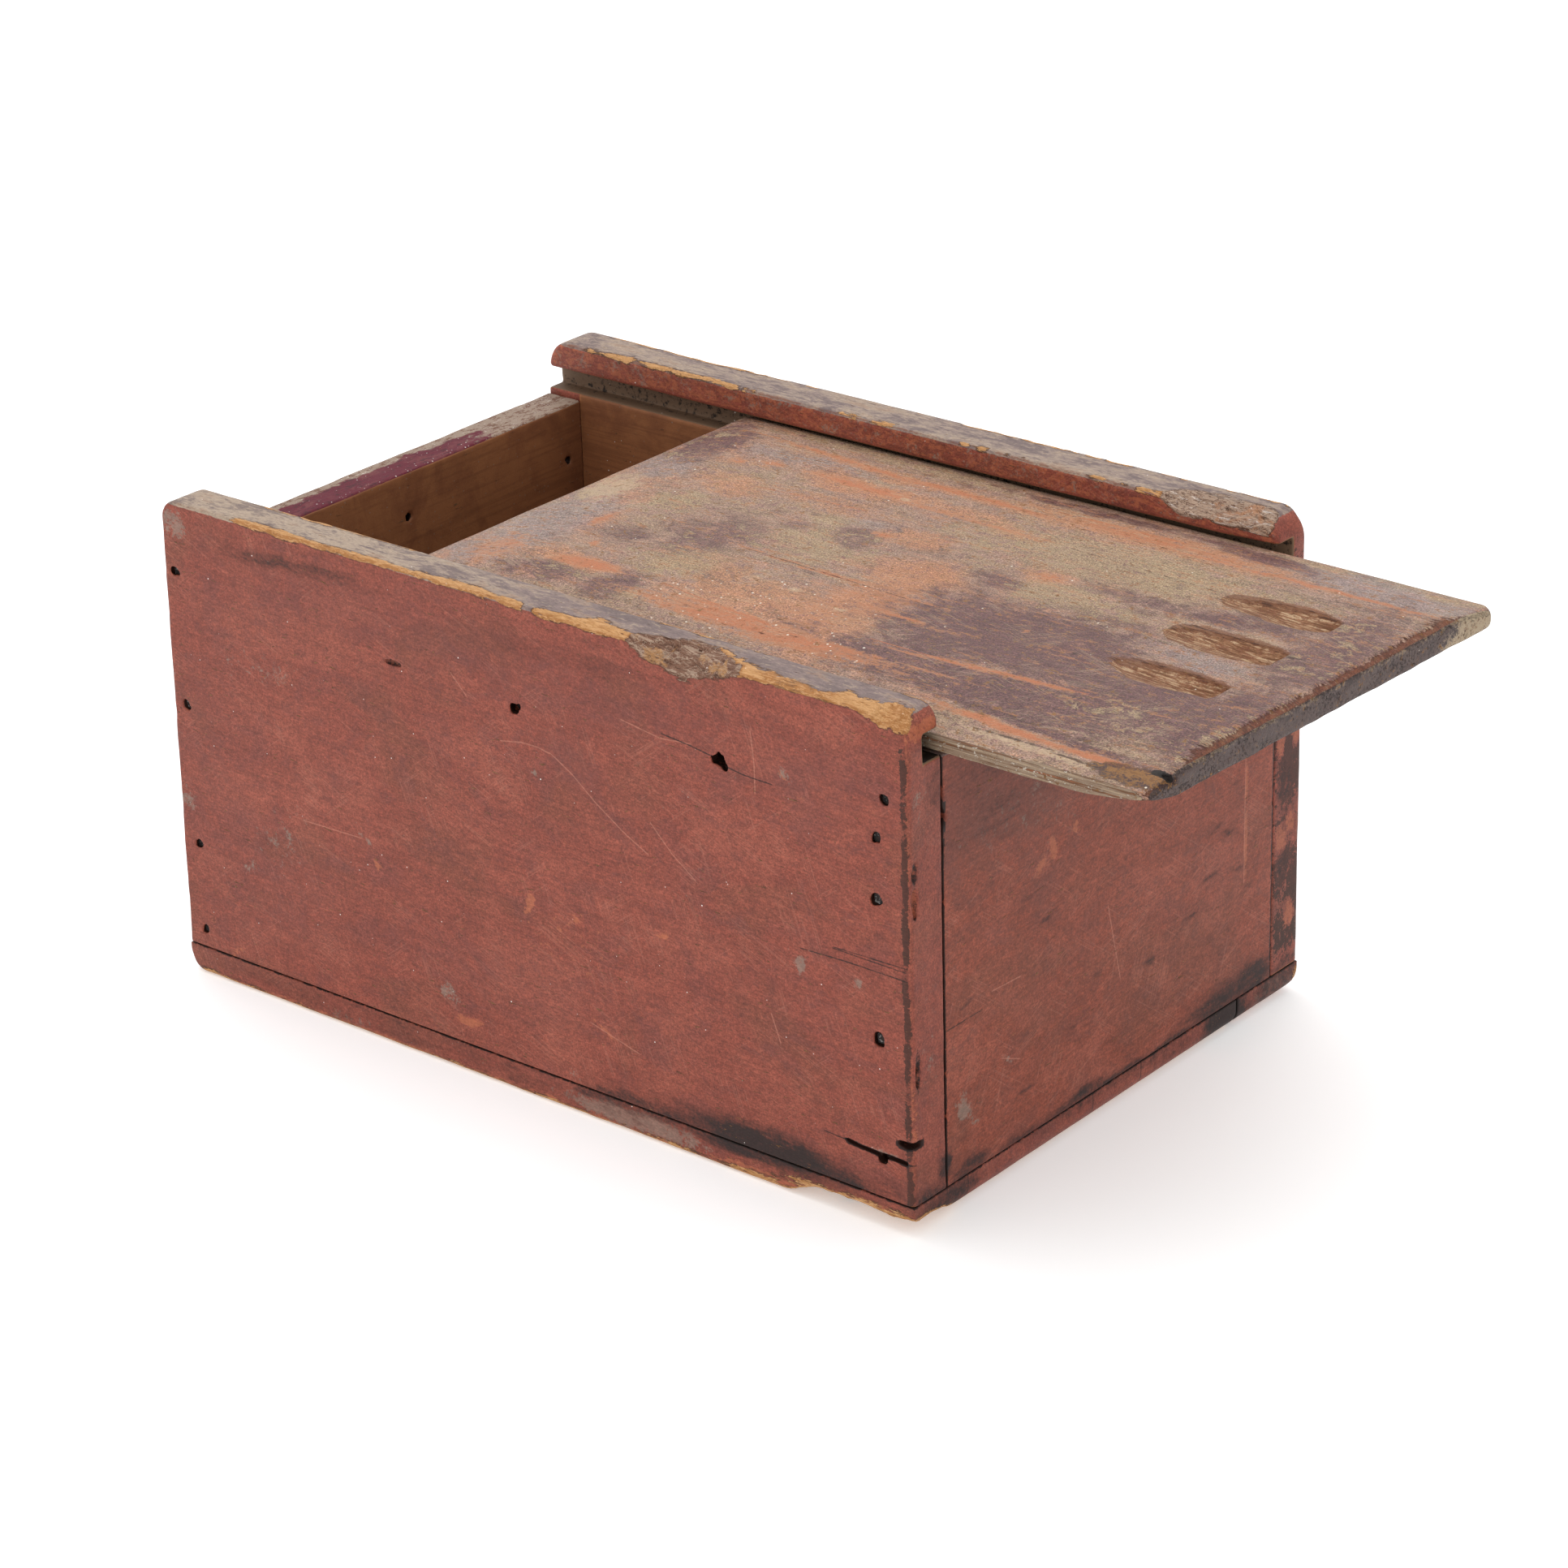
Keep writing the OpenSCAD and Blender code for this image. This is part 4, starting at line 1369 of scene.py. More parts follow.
@dataclass
class SideBoard(Board):
    """A side board with the lid's groove. side is -1 on the left and 1 on the right."""

    side: int = -1
    rake: float = 0.0
    corner: float = 7.0
    # How much wider the groove is worn at its mouth, and how deep the nails' pits are
    flare: float = 1.3
    pit_deep: float = 3.2
    # Where the dark line runs down the arris between the face and the front end
    arris_x: float = 150.7
    top_front: float = 167.3
    top_rise: float = 1.4
    # Along the outer top arris: place, how far the chips reach in over the top, and down the face
    chips: tuple = ((-150, 0, 0), (150, 0, 0))
    # The same along the lip's inner arris
    lip_chips: tuple = ((-150, 0, 0), (150, 0, 0))
    holes: tuple = ()
    slits: tuple = ()
    end_tints: dict = field(default_factory=dict)

    def spots(self) -> tuple:
        """Closer at the ends, the faces, the top and the pits."""
        inner = tuple(sorted((self.side * INNER_W, self.side * GROOVE_WALL)))
        xs = [(-HALF_L, 0.6, 1.5), (HALF_L, 0.5, 2.5), (142, 0.85, 3), (-144.3, 0.85, 2)]
        xs += [(row[0], 0.6, row[2]) for row in self.holes]
        zs = [(FLOOR_Z, 0.6, 1.0), (LEDGE_Z, 0.7, 0.5), (GROOVE_Z, 0.7, 0.5), (167.5, 0.55, 3.0)]
        zs += [(place[1], 0.8, 2) for place in NAIL_PITS]
        zs += [(row[1], 0.6, row[2]) for row in self.holes]
        ys = [(self.side * HALF_W, 0.45, 1.5), *((place, 0.6, 0.8) for place in inner)]
        return tuple(xs), tuple(ys), tuple(zs)

    def faces(self, x: Array, y: Array, z: Array) -> tuple[Array, ...]:
        """Distances outside the outer, inner, top, lower, front and back faces.

        Args:
            x: Places along the box, in mm.
            y: Places across it.
            z: Heights.

        Returns:
            The six distances in mm, each negative on the wood's side.
        """
        across = self.side * y
        top = z - self.top_front - self.top_rise * (HALF_L - x) / (2 * HALF_L)
        back = self.rake * (z - FLOOR_Z) / (self.top_front + self.top_rise - FLOOR_Z) - HALF_L - x
        return across - HALF_W, INNER_W - across, top, FLOOR_Z - z, x - HALF_L, back

    def groove(self, x: Array, y: Array, z: Array, flare: float = 0.0) -> Array:
        """Distance outside the groove's hollow, which flares towards the front by so much."""
        wide = flare * ramp(x, 128, HALF_L)
        return most(LEDGE_Z - z - 0.3 * wide, z - GROOVE_Z - 0.5 * wide, self.side * y - GROOVE_WALL - wide)

    def new_wood(self, x: Array, y: Array, z: Array) -> Array:
        """Distance outside the board as it was made."""
        outer, inner, top, foot, front, back = self.faces(x, y, z)
        ends = np.maximum(front, back)
        solid = most(round_join(top, ends, self.corner), outer, inner)
        return most(solid, foot, -self.groove(x, y, z))

    def fresh_cuts(self, x: Array, y: Array, z: Array) -> Array:
        """Distance into the chips along the two top arrises, torn along the grain.

        Args:
            x: Places along the box, in mm.
            y: Places across it.
            z: Heights.

        Returns:
            The distance in mm, positive where wood is gone.
        """
        outer, inner, top = self.faces(x, y, z)[:3]
        n = self.noise
        torn = n.layered((x, y, z), (11, 1.9, 1.9), 3, 9.0)
        ragged = 1 + 0.95 * n.layered((x, 0 * y, 0 * z), 4, 4, 4.0)
        chips = []
        for rows, face in ((self.chips, outer), (self.lip_chips, inner)):
            places, *reaches = np.array(rows, float).T
            over, down = (np.interp(x, places, reach, left=0.0, right=0.0) * ragged for reach in reaches)
            chip = arris_chip(top, face, down, over) + 0.42 * torn * np.minimum(over, 1.5)
            chips.append(chip - 3 * ramp(over, 0.9, 0.3))
        return most(*chips)

    def old_cuts(self, x: Array, y: Array, z: Array) -> Array:
        """Distance into the board's own old breaks; a plain side board has none."""
        return -9.0 + 0 * (x + y + z)

    def worn_wood(self, x: Array, y: Array, z: Array) -> Array:
        """Distance outside the board as it is now."""
        outer, inner, top, foot, front, back = self.faces(x, y, z)
        n = self.noise
        ends = np.maximum(front, back + 0.35 * (1 + n.layered((x, 0 * y, z), (40, 40, 9), 3, 3.0)))
        end_top = round_join(top, ends, self.corner)
        flats = np.maximum(outer, inner)
        wobble = n.layered((x, 0 * y, z), (14, 40, 14), 3)
        inner_side = ramp(self.side * y, 97, 92)
        radius = 1.0 + 0.5 * wobble + inner_side * (1.3 + 0.7 * wobble) * ramp(z, 150, 160)
        radius = radius + 1.3 * ramp(x, 146, 150) * (1 - inner_side)
        solid = round_join(flats, end_top, np.maximum(radius, 0.35))
        solid = round_join(solid, foot, 0.5 + 0.2 * wobble)
        groove = self.groove(x, y, z, self.flare)
        solid = round_join(solid, -groove, np.maximum(0.7 + 0.3 * wobble, 0.3))
        solid = most(solid, self.fresh_cuts(x, y, z), self.old_cuts(x, y, z))
        solid = self.pits(solid, outer, x, z, self.all_pits())
        for centre, half in self.slits:
            rough = 0.6 * n.at((x, y, z), 2.0, centre[2])
            solid = np.maximum(solid, (1 - oval((x, y, z), centre, half) - rough) * min(half))
        return solid

    def all_pits(self) -> tuple:
        """The nails' pits and the board's empty holes."""
        return (*((*place, self.pit_deep) for place in NAIL_PITS), *self.holes)

    def marks(self, x: Array, y: Array, z: Array) -> Marks:
        """The marks on its surface."""
        across = self.side * y
        outer, inner, top, foot, front, _ = self.faces(x, y, z)
        groove = self.groove(x, y, z, self.flare)
        hollow = (groove < 0.6) & (inner < -0.2)
        inside = (inner > -0.5) & (z < LEDGE_Z) & (np.abs(x) < 137.0)
        face = ramp(outer, -3.5, -1.2)
        end_face = ramp(front, -2.0, -0.5)
        fresh, old = self.fresh_cuts(x, y, z), self.old_cuts(x, y, z)
        seam = 0.7 * ramp(foot, -0.6, 0.0) * (outer > -2)
        seam = np.maximum(seam, 0.9 * ramp(inner, -0.5, 0.1) * end_face * (z < LEDGE_Z))
        slit = 0 * x
        for centre, half in self.slits:
            slit = np.maximum(slit, 0.6 * ramp(oval((x, y, z), centre, half), 1.5, 1.1))
        result = {
            "raw": np.where(hollow | inside | (foot > -0.3), 1.0, 0.0),
            "bare": np.maximum(ramp(fresh, -1.0, -0.1), ramp(old, -1.0, -0.1)),
            "seam": np.maximum(seam, 0.55 * ramp(groove, 0.5, -0.2) * (across > 90)),
            "pit": np.maximum(self.in_pits(outer, x, z, self.all_pits()), slit),
            **self.drawn(x, z, face),
            "dirt": np.where(hollow, 0.75, np.where(inside, 0.5, np.maximum(
                1.6 * ramp(old, -2.0, -1.0), 0.5 * ramp(outer, -1.4, -0.3)))),
            "patina": ramp(top, -2.0, -0.6), "rough": (self.side > 0) * ramp(old, -1.2, -0.2),
            # The left top turns tanner towards the back; the right top has an even middle share of tan
            "bleach": 0.5 + 0.0 * x if self.side > 0 else 0.1 + 0.75 * ramp(x, 60, -90),
        }
        u, v = self.stray(x, z, 3.2, 11)
        w, h = self.stray(across, z, 2.4, 8)
        for name in ("soot", "grey", "orange", "purple", "flake"):
            deepen(result, name, face * patches(u, v, self.tints.get(name, ())))
            deepen(result, name, end_face * patches(w, h, self.end_tints.get(name, ())))
        wander, breaks = (self.noise.layered((0 * x, 0 * x, z), size, 4, 71.0) for size in (9, 5))
        arris = ramp(np.abs(x - self.arris_x - 0.6 * wander), 1.4, 0.6)
        arris = arris * ramp(outer, -2.6, -1.2) * ramp(z, 160, 150)
        deepen(result, "soot", 0.4 * arris)
        deepen(result, "flake", (0.8 + 0.9 * breaks) * arris)
        result["flake"] = result["flake"] * (1 - np.clip(1.4 * result["orange"], 0, 1))
        lip = ramp(inner, -2, -0.8) * (z > 159.5)
        deepen(result, "grey", 0.3 * lip)
        deepen(result, "orange", 0.6 * lip)
        result["depth"] = -self.new_wood(x, y, z) * (1 - end_face * ramp(inner, -2.0, -0.8) * (z < LEDGE_Z))
        return result


@dataclass
class LeftSideBoard(SideBoard):
    """The left side board, chipped along its outer top arris and split at its front foot."""

    # The splintered gouge: where it starts, is full, thins and ends
    gouge: tuple = (43, 60, 74, 97)
    gouge_deep: float = 6.4
    gouge_wide: float = 7.6
    notch_z: float = 30.0
    notch_x: float = 146.5
    split_z: float = 24.6
    split_x: float = 138.5
    split_half: float = 11.5

    def old_cuts(self, x: Array, y: Array, z: Array) -> Array:
        """The splintered gouge in the top arris, the notch and the split at the front foot."""
        outer, _, top = self.faces(x, y, z)[:3]
        n = self.noise
        start, full, thins, end = self.gouge
        there = ramp(x, start, full) * ramp(x, end, thins)
        tear = n.layered((x, y, z), (5, 1.6, 1.6), 4, 21.0)
        ragged = there * (1 + 0.6 * n.layered((x, 0 * y, 0 * z), 5, 4, 61.0))
        scoop = arris_chip(top, outer, self.gouge_deep * ragged + 0.02, self.gouge_wide * ragged + 0.02)
        scoop = scoop + 1.6 * tear * there
        scoop = scoop - 3 * (1 - ramp(there, 0.0, 0.25))
        notch = np.maximum(np.abs(z - self.notch_z) - 0.9 - 0.5 * n.at((x, y, z), 3), self.notch_x - x)
        notch = np.maximum(notch, -outer - 5.0)
        split = np.abs(z - self.split_z + 0.05 * (x - 138) + 0.7 * n.at((x, 0 * y, 0 * z), 5)) - 0.5
        split = most(split, np.abs(x - self.split_x) - self.split_half, -outer - 2.2)
        return most(scoop, -notch, -split)

    def marks(self, x: Array, y: Array, z: Array) -> Marks:
        """The marks on its surface, with the notch and the split at its foot and the groove's front mouth
        painted dark inside as painted shade.
        """
        result = super().marks(x, y, z)
        # The notch and the split at the foot take the pits' near-black: painted shade in these narrow cuts
        foot = (z < 36) & (x > 125)
        deepen(result, "pit", np.where(foot, 0.8 * result["bare"], 0.0))
        result["bare"] = np.where(foot, 0.0, result["bare"])
        stained = np.maximum(0.8 * ramp(np.abs(x - 112), 16, 8), 0.45 * ramp(x, 136, 148)) * (z > 155)
        deepen(result, "dirt", stained * ramp(self.groove(x, y, z), 0.2, 0.8))
        # The groove towards its front end is painted near-black: painted shade in the gap round the lid
        mouth = ramp(x, 116, 136) * ramp(self.groove(x, y, z, self.flare), 0.7, 0.3) * (x < 151.8)
        deepen(result, "pit", 0.8 * mouth)
        return result


@dataclass
class RightSideBoard(SideBoard):
    """The right side board, whose lip is chewed away at its front end."""

    # The chewed part: where it starts, is full, thins and ends
    chewed: tuple = (104, 116, 146, 154)
    chewed_deep: float = 4.6
    chewed_wide: float = 8.5

    def old_cuts(self, x: Array, y: Array, z: Array) -> Array:
        """The torn inner half of the lip's top near its front end, which is worn round."""
        inner, top = self.faces(x, y, z)[1:3]
        start, full, thins, end = self.chewed
        there = ramp(x, start, full) * ramp(x, end, thins)
        tear = self.noise.layered((x, y, z), (5, 1.8, 1.8), 4, 31.0)
        scoop = arris_chip(top, inner, self.chewed_deep * there + 0.02, self.chewed_wide * there + 0.02)
        scoop = scoop + 1.7 * tear * there
        return scoop - 3 * (1 - ramp(there, 0.0, 0.25))


@dataclass
class EndBoard(Board):
    """An end board between the sides. end is -1 at the back and 1 at the front."""

    end: int = 1
    holes: tuple = ()
    # Where other paint has dripped on the top edge: the middle and half the length
    painted: tuple = (500.0, 0.0, 1.0)
    # Gaps at its left edge: the height, half the height of the gap and its width
    gaps: tuple = ()

    def spots(self) -> tuple:
        """Closer at the top edge and the face."""
        return (
            tuple((place, 0.6, 1.0) for place in (self.low[0], self.high[0])),
            ((-INNER_W, 0.6, 1.5), (INNER_W, 0.6, 1.5)),
            ((FLOOR_Z, 0.6, 1.5), (self.high[2], 0.55, 2.5)),
        )

    def faces(self, x: Array, y: Array, z: Array) -> tuple[Array, ...]:
        """Distances outside the outer, inner, side, top and lower faces.

        Args:
            x: Places along the box, in mm.
            y: Places across it.
            z: Heights.

        Returns:
            The five distances in mm, each negative on the wood's side.
        """
        out = self.end * x
        thick = self.high[0] - self.low[0]
        return out - HALF_L, HALF_L - thick - out, np.abs(y) - INNER_W, z - self.high[2], FLOOR_Z - z

    def new_wood(self, x: Array, y: Array, z: Array) -> Array:
        """Distance outside the board as it was made."""
        outer, inner, sides, top, foot = self.faces(x, y, z)
        return most(outer, inner, sides, top, foot)

    def worn_wood(self, x: Array, y: Array, z: Array) -> Array:
        """Distance outside the board as it is now."""
        outer, inner, sides, top, foot = self.faces(x, y, z)
        n = self.noise
        wobble = n.layered((0 * x, y, z), 12, 3)
        rough_top = top + 0.35 + 0.35 * n.layered((x, y, 0 * z), (5, 9, 5), 3, 6.0)
        radius = np.maximum(0.7 + 0.4 * wobble, 0.25)
        solid = round_join(np.maximum(outer, inner), rough_top, radius + 0.7)
        gap = 0.06 + 0.5 * ramp(n.layered((0 * x, y, z), 4, 3, 51.0), 0.2, 0.7)
        left = (y < 0) * ramp(outer, -9, -6)
        for place, half, deep in self.gaps:
            gap = np.maximum(gap, deep * np.clip(1 - np.abs(z - place) / half, 0, 1) * left)
        solid = round_join(solid, sides + gap, 0.5 * radius)
        solid = round_join(solid, foot + 0.05, 0.6 * radius)
        return self.pits(solid, inner, y, z, self.holes)

    def marks(self, x: Array, y: Array, z: Array) -> Marks:
        """The marks on its surface."""
        outer, inner, sides, top, foot = self.faces(x, y, z)
        face = ramp(outer, -2.5, -0.8)
        back = ramp(inner, -2.0, -0.6)
        seam = np.maximum(ramp(sides + 0.45 * (y > 0), -0.75, -0.25), 0.9 * ramp(foot, -0.6, 0.0)) * face
        shut = 1.0 + 0 * x
        rough = 0.35 * self.noise.layered((0 * x, 0 * y, z), 2.5, 4, 37.0)
        # The walls of each gap at the left edge take the seam's near-black and lose their rubbed wear:
        # painted shade in the gap
        for place, half, deep in self.gaps:
            near = ramp(np.abs(z - place), half + 1.5, half) * (y < 0) * ramp(outer, -12, -10)
            shut = np.minimum(shut, 1 - near)
            edge = rough - 0.8 * deep
            seam = np.maximum(seam, 1.2 * near * ramp(sides, edge - 0.3, edge + 0.1))
        # The inside face turns darker towards its side corners and towards its bottom
        corners = np.maximum(ramp(np.abs(y), 62, 86), ramp(z, 60, 12))
        u, v = self.stray(y, z, 2.6, 9)
        drip = 4.0 + 2.5 * self.noise.layered((y, 0 * y, 0 * y), 5, 3, 13.0)
        ragged = 3 * self.noise.layered((0 * x, y, 0 * z), 6, 4, 29.0)
        painted = patches(y, 0 * z, ((*self.painted, 1.0, 0.75),)) * ramp(top, -1 - drip, -drip)
        result = {
            "raw": back * (top < -0.9), "seam": seam,
            "pit": self.in_pits(inner, y, z, self.holes),
            **self.drawn(y, z, face),
            "depth": -self.new_wood(x, y, z) * ramp(sides, -0.8, -2.0) * shut,
            "dirt": 0.45 + 0.15 * corners,
            "magenta": 1.6 * painted * ramp(outer + ragged, -2.5, -8.0),
            "patina": ramp(top, -2.0, -0.6), "rough": (self.end < 0) * 0.8 * ramp(top, -2.0, -0.6),
        }
        for name, rows in self.tints.items():
            result[name] = face * patches(u, v, rows)
        return result


@dataclass
class BottomPlank(Board):
    """One board of the bottom, with its lower corners worn round."""

    corner: float = 6.0
    # The radius of the far front corner, which is worn the most
    worn_corner: float = 8.5
    # How far up its near front corner is broken away, and where that starts and is full
    broken: float = 0.0
    broken_x: tuple = (101, 117)
    broken_y: tuple = (-74, -96)

    def spots(self) -> tuple:
        """Closer round the rim."""
        return (
            ((-HALF_L, 0.6, 4.0), (HALF_L, 0.5, 4.0)),
            ((self.low[1], 0.5, 2.0), (self.high[1], 0.5, 2.0)),
            ((0, 0.55, 12.0),),
        )

    def faces(self, x: Array, y: Array, z: Array) -> tuple[Array, ...]:
        """Distances outside the ends, the sides, the top and the underside.

        Args:
            x: Places along the box, in mm.
            y: Places across it.
            z: Heights.

        Returns:
            The four distances in mm, each negative on the wood's side.
        """
        ends = np.abs(x) - HALF_L
        sides = np.maximum(self.low[1] - y, y - self.high[1])
        return ends, sides, z - self.high[2], self.low[2] - z

    def new_wood(self, x: Array, y: Array, z: Array) -> Array:
        """Distance outside the board as it was made."""
        ends, sides, top, under = self.faces(x, y, z)
        return most(round_join(ends, under, self.corner), sides, top)

    def worn_wood(self, x: Array, y: Array, z: Array) -> Array:
        """Distance outside the board as it is now."""
        ends, sides, top, under = self.faces(x, y, z)
        n = self.noise
        wobble = n.layered((x, y, 0 * z), 13, 3)
        outside = (np.abs(y) > 80).astype(float)
        solid = round_join(ends, under, self.corner)
        radius = np.maximum(0.5 + (1.1 + 0.8 * wobble) * outside * ramp(z, 8, 4), 0.3)
        solid = round_join(solid, sides, radius)
        solid = round_join(solid, top, 0.4 + 0.15 * wobble)
        worn = round_join(sides, under, self.worn_corner) - 9 * (1 - ramp(x, 116, 138) * (y > 80))
        return most(solid, worn, self.lost(x, y, z))

    def lost(self, x: Array, y: Array, z: Array) -> Array:
        """Distance into the broken corner under the front of the left side.

        Args:
            x: Places along the box, in mm.
            y: Places across it.
            z: Heights.

        Returns:
            The distance in mm, positive where wood is gone.
        """
        tear = self.noise.layered((x, y, z), (9, 3, 3), 3, 8.0)
        away = ramp(x, *self.broken_x) * ramp(y, *self.broken_y)
        return ((self.broken + 0.9 * tear) * away - z) * 0.8 - 3 * (1 - min(self.broken, 1.0))

    def marks(self, x: Array, y: Array, z: Array) -> Marks:
        """The marks on its surface."""
        ends, sides, top, under = self.faces(x, y, z)
        around = np.maximum(ramp(ends, -2.5, -0.8), ramp(sides, -2.5, -0.8) * (np.abs(y) > 90))
        seam = 0.85 * ramp(top, -0.9, -0.1) * around
        seam = np.maximum(seam, 0.95 * ramp(sides, -1.2, -0.2) * (np.abs(y) < 90))
        left = ramp(-y, 96, 101)
        wear = ramp(under, -3.2, -1.0) * around
        lost = self.lost(x, y, z)
        result = {
            "raw": np.where((under > -1.0) | ((top > -0.3) & (np.abs(y) < 85) & (ends < -16)), 1.0, 0.0),
            "bare": ramp(lost, -1.2, -0.2), "seam": seam, "dirt": 0.2 + 0 * x, "orange": 0.6 * wear,
            **self.drawn(y, z, ramp(x, 149, 151)),
        }
        u, v = self.stray(x, z, 1.6, 8)
        w, h = self.stray(y, z, 1.6, 8)
        for name, (side_rows, end_rows) in self.tints.items():
            deepen(result, name, left * patches(u, v, side_rows))
            deepen(result, name, ramp(x, 147, 151) * patches(w, h, end_rows))
        return result


# --- The lid ---


@dataclass
class SlidingLid(Board):
    """The sliding lid: a tapering board with bevelled sides and back, and three finger grips."""

    top: float = 161.63
    back_half: float = 91.0
    front_half: float = 87.4
    skew: float = 3.25
    edge: float = 5.6
    back_edge: float = 5.2
    bevel: float = 27.0
    back_bevel: float = 24.0
    front_mid: float = 228.0
    grip_wall: float = 205.0
    # For each grip its centre, length, half-width, depth at its wall, where along it it is widest,
    # and how square its outline is
    grips: tuple = ((-23.3, 41.0, 7.2, 3.6, 0.42, 2.0), (6.7, 40.0, 7.8, 3.8, 0.46, 2.3),
                    (36.7, 41.0, 7.6, 3.4, 0.34, 1.8))
    # The radius of its front corners, seen from above
    corner: float = 6.0
    # How far its underside is worn up at the near front corner, and where that starts and is full
    worn_up: float = 3.3
    worn_x: tuple = (200, 229)
    worn_y: tuple = (-72, -90)
    # How far the splinters of its front arris reach down the end and in over the top
    splinters: tuple = (1.8, 3.4)
    # The small hole in its front: its centre and its half-sizes across and up
    hole: tuple = (-76.0, 158.6, 0.9, 1.3)
    hole_back: float = 221.0

    def spots(self) -> tuple:
        """Closer at the rim, the front and the grips' walls."""
        return (
            ((self.low[0], 0.6, 1.0), (self.grip_wall, 0.8, 1.5), (228.5, 0.55, 4.5)),
            ((-89, 0.6, 3.0), (89, 0.7, 3.0)),
            ((156, 0.75, 20.0),),
        )

    def faces(self, x: Array, y: Array, z: Array) -> tuple[Array, ...]:
        """Distances outside the left, right, front, back, top and lower faces.

        Args:
            x: Places along the box, in mm.
            y: Places across it.
            z: Heights.

        Returns:
            The six distances in mm, each negative on the wood's side.
        """
        length = self.front_mid - self.low[0]
        lean = (self.back_half - self.front_half) / length
        half = self.back_half - lean * (x - self.low[0])
        slope = self.skew / self.front_half
        return (-y - half, y - half, (x - self.front_mid - slope * y) / math.hypot(1, slope),
                self.low[0] - x, z - self.top, self.low[2] - z)

    def bevels(self, left: Array, right: Array, back: Array, z: Array) -> Array:
        """Distance above the three bevels.

        Args:
            left: Distance outside the left face, in mm.
            right: Distance outside the right face.
            back: Distance outside the back face.
            z: Heights.

        Returns:
            The distance in mm, negative under all three.
        """
        deep = self.top - self.low[2]
        up = z - self.low[2]
        planes = []
        for face, wide, edge in ((left, self.bevel, self.edge), (right, self.bevel, self.edge),
                                 (back, self.back_bevel, self.back_edge)):
            slope = (deep - edge) / wide
            planes.append((up - edge + slope * face) / math.hypot(1, slope))
        return most(*planes)

    def new_wood(self, x: Array, y: Array, z: Array) -> Array:
        """Distance outside the lid as it was made, without its grips."""
        left, right, front, back, top, under = self.faces(x, y, z)
        rim = np.maximum(round_join(np.maximum(left, right), front, self.corner), back)
        return most(rim, top, under, self.bevels(left, right, back, z))

    def scoops(self, x: Array, y: Array, z: Array, carved: bool) -> Array:
        """Distance outside the grips' hollows, with the marks of the gouge where carved.

        Args:
            x: Places along the box, in mm.
            y: Places across it.
            z: Heights.
            carved: Whether the gouge's marks are there.

        Returns:
            The distance in mm, negative in a hollow.
        """
        hollows = []
        for n, (centre, length, half, depth, middle, square) in enumerate(self.grips):
            back = np.clip((self.grip_wall - x) / length, -0.2, 1.0)
            aside = np.abs(back - middle) / np.where(back > middle, 1 - middle, 1.3 * middle)
            wide = half * np.clip(1 - aside**square, 0.002, 1) ** (1 / square)
            deep = depth * np.clip(1 - back, 0.02, 1) ** 0.7
            radius = (wide * wide + deep * deep) / (2 * deep)
            rough = 0.3 * np.maximum(self.grip_wall - x - length, 0)
            if carved:
                rough = rough + 0.6 * self.noise.layered((x, y, z), (12, 2.4, 2.4), 3, 11.0 + n)
                rough = rough + 0.35 * self.noise.at((x, y, 0 * z), 3.5, 31.0 + n)
            far = np.sqrt((y - centre) ** 2 + (z - self.top - radius + deep) ** 2) - radius + rough
            wall = x - self.grip_wall - (0.5 * self.noise.at((0 * x, y, z), 3, n) if carved else 0)
            hollows.append(np.maximum(far, wall))
        return reduce(np.minimum, hollows)

    def hole_gap(self, y: Array, z: Array) -> Array:
        """Distance outside the square hole in the front."""
        across, up, half_across, half_up = self.hole
        return np.maximum(np.abs(y - across) - half_across, np.abs(z - up) - half_up)

    def worn_wood(self, x: Array, y: Array, z: Array) -> Array:
        """Distance outside the lid as it is now."""
        left, right, front, back, top, under = self.faces(x, y, z)
        n = self.noise
        wobble = n.layered((x, y, 0 * z), 16, 3)
        lifted = self.worn_up * ramp(x, *self.worn_x) * ramp(y, *self.worn_y)
        under = under + lifted + 0.25 * (1 + wobble)
        front = front + 0.35 * (1 + n.layered((0 * x, y, z), (6, 6, 3), 3, 5.0))
        rim = round_join(np.maximum(left, right), front, self.corner)
        rim = round_join(rim, back + 0.3 + 0.3 * wobble, 1.5)
        lid_top = round_join(top, self.bevels(left, right, back, z) + 0.06, 2.6)
        radius = 1.0 + 0.4 * wobble + 1.6 * ramp(front, -6, -1)
        solid = round_join(rim, lid_top, np.maximum(radius, 0.4))
        solid = round_join(solid, under, np.maximum(1.2 + 0.6 * wobble, 0.5))
        # The front arris is splintered
        splinter = n.layered((x, y, z), (4.5, 2.0, 2.0), 3, 12.0)
        ragged = 1 + 0.5 * n.layered((0 * x, y, 0 * z), 7, 3, 2.0)
        chip = arris_chip(top, front, *(reach * ragged for reach in self.splinters))
        solid = np.maximum(solid, chip + 0.4 * splinter)
        solid = np.maximum(solid, -self.scoops(x, y, z, True))
        hole = self.hole_gap(y, z) + 0.7 * n.at((x, y, z), 2, 9.0)
        hole = np.maximum(hole, self.hole_back - x)
        return np.maximum(solid, -hole)

